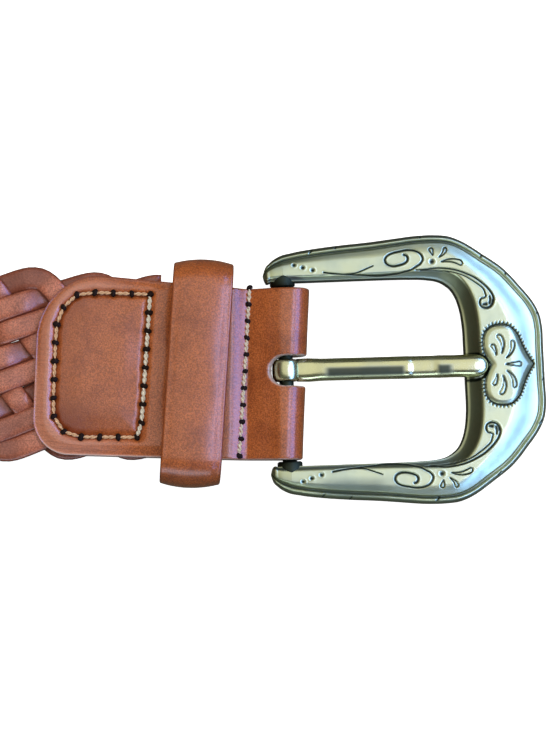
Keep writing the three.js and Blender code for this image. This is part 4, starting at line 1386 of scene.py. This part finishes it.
# Painted dark reflections and shade: the rim's outer side, the bevels, the inner wall and a band of the face
# beside the rim are darkened, more on the arms than at the front, leaving a lighter line at the bevel's foot.
# The lower arm is darker towards its outer edge near the bar. The cuts and notch walls are black with patina,
# and so is the rim's groove, more on the arms.
away_side = 1 - eased(x, 34, 44)
dark = np.zeros(share.shape)
rim_outside = slice(0, RIM_START + 5)
rim_groove = slice(FACE_START - 5, FACE_START)
face = slice(FACE_START, BEVEL_START)
dark[:, rim_outside] = 0.10 + 0.55 * away_side[:, rim_outside]
dark[:, rim_groove] = np.array((0.35, 0.8, 0.95, 0.95, 0.5)) * (0.35 + 0.65 * away_side[:, rim_groove])
dark[:, BEVEL_START:BEVEL_START + 8] = 0.62
dark[:, BEVEL_START + 8:BEVEL_START + 10] = 0.10
dark[:, BEVEL_START + 10:] = 0.9
beside_rim = along[:, face] - along[:, FACE_START:FACE_START + 1]
dark[:, face] = 0.42 * np.exp(-(beside_rim / 1.3) ** 2) * away_side[:, face]
low_arm = eased(-y, 21.2, 23.5) * (1 - eased(x, 17, 23)) * eased(x, 3, 8)
dark = np.maximum(dark, 0.5 * low_arm * top_columns)
patina_and_painted_dark = np.clip(np.maximum(np.exp(-(near_cut / 1.15) ** 4) * top_columns, dark) + 0.9 * wall, 0, 1)

casting = Gathered()
rows, sides = x.shape
casting.add(np.stack([x, y, z], -1).reshape(-1, 3), tube_faces(rows, sides))
patina_and_painted_dark = list(patina_and_painted_dark.ravel())
collar = STRAP_WIDTH / 2 + GAP
arm = WINDOW_HALF + ARM_WIDTH * 0.3
bar_profile = [
    (0.01, -arm), (COLLAR_RADIUS, -arm), (COLLAR_RADIUS, -collar - 0.3), (COLLAR_RADIUS - 0.3, -collar),
    (BAR_RADIUS, -collar), (BAR_RADIUS, collar), (COLLAR_RADIUS - 0.3, collar), (COLLAR_RADIUS, collar + 0.3),
    (COLLAR_RADIUS, arm), (0.01, arm),
]
casting.add(lathe_on_bar(bar_profile, BAR_SIDES), tube_faces(len(bar_profile), BAR_SIDES))
# The bar and its collars are darkened nearly black all over.
patina_and_painted_dark += [BAR_DARKNESS] * (len(bar_profile) * BAR_SIDES)


def brass(name, bright, dark, rough):
    """Brass, black where its mesh says cut: in the engraved cuts, and as painted dark reflections elsewhere.
    It has faint rubbing marks and cloudy polish.
    """
    made, tree, shader = new_finish(name)
    shader.inputs["Metallic"].default_value = 1.0
    where = add_node(tree, "ShaderNodeTexCoord").outputs["Object"]
    cloud = noise(tree, where, 160.0, 3.0, 0.6)
    duller = tuple(0.78 * v for v in bright)
    tone = blended(tree, between(tree, cloud, 0.35, 0.75, 0.0, 0.6), (*bright, 1), (*duller, 1))
    black = painted(tree, "cut")
    tree.links.new(blended(tree, black, tone, (*dark, 1)), shader.inputs["Base Color"])
    hairs = add_node(tree, "ShaderNodeMapping", None, Vector=where)
    hairs.inputs["Scale"].default_value = (700, 5200, 1500)
    rubbed = noise(tree, hairs.outputs["Vector"], 1.0, 2.0, 0.5)
    lumps = add_node(tree, "ShaderNodeBump", None, Strength=0.08, Distance=0.0001, Height=rubbed)
    tree.links.new(lumps.outputs["Normal"], shader.inputs["Normal"])
    gloss = between(tree, cloud, 0.3, 0.75, rough - 0.05, rough + 0.08)
    tree.links.new(sum_of(tree, "MULTIPLY_ADD", black, 0.28, gloss), shader.inputs["Roughness"])
    return made


antique_brass = brass("antique_brass", BRASS, BRASS_DARK, 0.33)
cast_frame = new_piece("cast_frame", place(np.array(casting.points)), casting.faces, {"cut": patina_and_painted_dark})
cast_frame.data.materials.append(antique_brass)
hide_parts("buckle_frame")
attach(cast_frame, "buckle")

# The prong: a forged and filed brass rod. Its eye turns on the bar, one stretch is stamped lower, and its
# tip rests in the notch of the frame. Two dark reflections are painted along its upper face.
PRONG_WIDTH = 4.8
PRONG_THICKNESS = 2.9
EYE_BORE = 1.8
EYE_RADIUS = 2.9
EYE_WIDTH = 4.6
EYE_SIDES = 48
EYE_ROUNDNESS = 0.55
PRONG_STEP = 0.3
PRONG_ASIDE_ROOT = 0.75
PRONG_ASIDE_TIP = 0.2
POLISHED = (0.66, 0.65, 0.36)
# place from eye to tip, half width, whether it is the tip's, lowering of the top, raising of the bottom
PRONG_ROWS = np.array([
    (0.052, 1.00, 0, 0.16, 0.10),
    (0.110, 1.04, 0, 0.13, 0.04),
    (0.175, 0.98, 0, 0.04, 0.00),
    (0.420, 0.98, 0, 0.00, 0.00),
    (0.600, 1.00, 0, 0.00, 0.00),
    (0.625, 0.98, 0, 0.08, 0.04),
    (0.730, 0.98, 0, 0.08, 0.04),
    (0.755, 1.00, 0, 0.00, 0.00),
    (0.840, 0.96, 1, 0.00, 0.00),
    (0.940, 1.00, 1, 0.02, 0.00),
    (0.972, 0.86, 1, 0.10, 0.03),
    (0.991, 0.58, 1, 0.24, 0.10),
    (1.000, 0.22, 1, 0.42, 0.22),
])
PRONG_HALF = [(0.70, 0), (1, 0.28), (0.97, 0.58), (0.62, 0.93), (0, 1)]
PRONG_CORNERS = PRONG_HALF + [(-x, y) for x, y in PRONG_HALF[-2::-1]]
# where each painted dark reflection starts, is dark, is dark up to, and ends
DARK_REFLECTIONS = [(7.5, 9, 23.8, 25), (31, 31.8, 33.4, 35)]
REFLECTION_DARKNESS = 0.90


def soften(corners, share, times):
    """A closed outline whose corners are cut, and cut again."""
    points = np.array(corners, float)
    for _ in range(times):
        after = np.roll(points, -1, axis=0)
        cuts = [points + (after - points) * share, points + (after - points) * (1 - share)]
        points = np.stack(cuts, 1).reshape(-1, 2)
    return points


outline = soften(PRONG_CORNERS, 0.24, 3)
reach_at = PRONG_ROWS[:, 0] * PRONG_REACH
wide = np.where(PRONG_ROWS[:, 2] > 0, PRONG_TIP_WIDTH, PRONG_WIDTH) / 2 * PRONG_ROWS[:, 1]
tip_nose = PRONG_REACH - np.array([3.0, 2.2, 1.5, 1.0, 0.6, 0.3, 0.12, 0.0])
places = np.concatenate([np.arange(reach_at[0], tip_nose[0], PRONG_STEP), tip_nose])
half_wide = np.interp(places, reach_at, wide)
top_drop = np.interp(places, reach_at, PRONG_ROWS[:, 3])
bottom_rise = np.interp(places, reach_at, PRONG_ROWS[:, 4])
share = places / PRONG_REACH
line = BAR_HEIGHT - PRONG_THICKNESS * 0.3 + (notch_floor + GAP - BAR_HEIGHT + PRONG_THICKNESS * 0.3) * share
low = line + bottom_rise * PRONG_THICKNESS
tall = line + (1 - top_drop) * PRONG_THICKNESS - low
rod = np.stack([
    np.broadcast_to(places[:, None], (len(places), len(outline))),
    half_wide[:, None] * outline[:, 0],
    low[:, None] + tall[:, None] * outline[:, 1],
], -1)
rod[..., 1] += PRONG_ASIDE_ROOT + (PRONG_ASIDE_TIP - PRONG_ASIDE_ROOT) * share[:, None]
tongue = Gathered()
tongue.add(rod.reshape(-1, 3), tube_faces(len(places), len(outline)))
eye_half = EYE_WIDTH / 2
rounding = np.linspace(-math.pi / 2, math.pi / 2, 13)
eye_profile = [(EYE_BORE, -eye_half)]
for a in rounding[1:-1]:
    bulge = (EYE_RADIUS - EYE_BORE) * math.cos(a) ** EYE_ROUNDNESS
    eye_profile.append((EYE_BORE + bulge, eye_half * math.sin(a)))
eye_profile += [(EYE_BORE, eye_half), (EYE_BORE, -eye_half)]
eye_points = lathe_on_bar(eye_profile, EYE_SIDES) + np.array((0, PRONG_ASIDE_ROOT, 0))
tongue.add(eye_points, tube_faces(len(eye_profile), EYE_SIDES, False))
polished_brass = brass("polished_brass", POLISHED, BRASS_DARK, 0.24)
# Painted reflection: two dark lines along the middle of the upper face.
reflection_band = np.exp(-((outline[:, 0] + 0.28) / 0.42) ** 6) * (outline[:, 1] > 0.5)
reflection_reach = sum(eased(places, a, b) * (1 - eased(places, c, d)) for a, b, c, d in DARK_REFLECTIONS)
painted_reflection = REFLECTION_DARKNESS * reflection_reach[:, None] * reflection_band
painted_reflections = np.concatenate([painted_reflection.ravel(), np.zeros(len(tongue.points) - painted_reflection.size)])
prong = new_piece("prong_rod", place(np.array(tongue.points)), tongue.faces, {"cut": painted_reflections})
prong.data.materials.append(polished_brass)
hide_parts("prong")
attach(prong, "tongue")
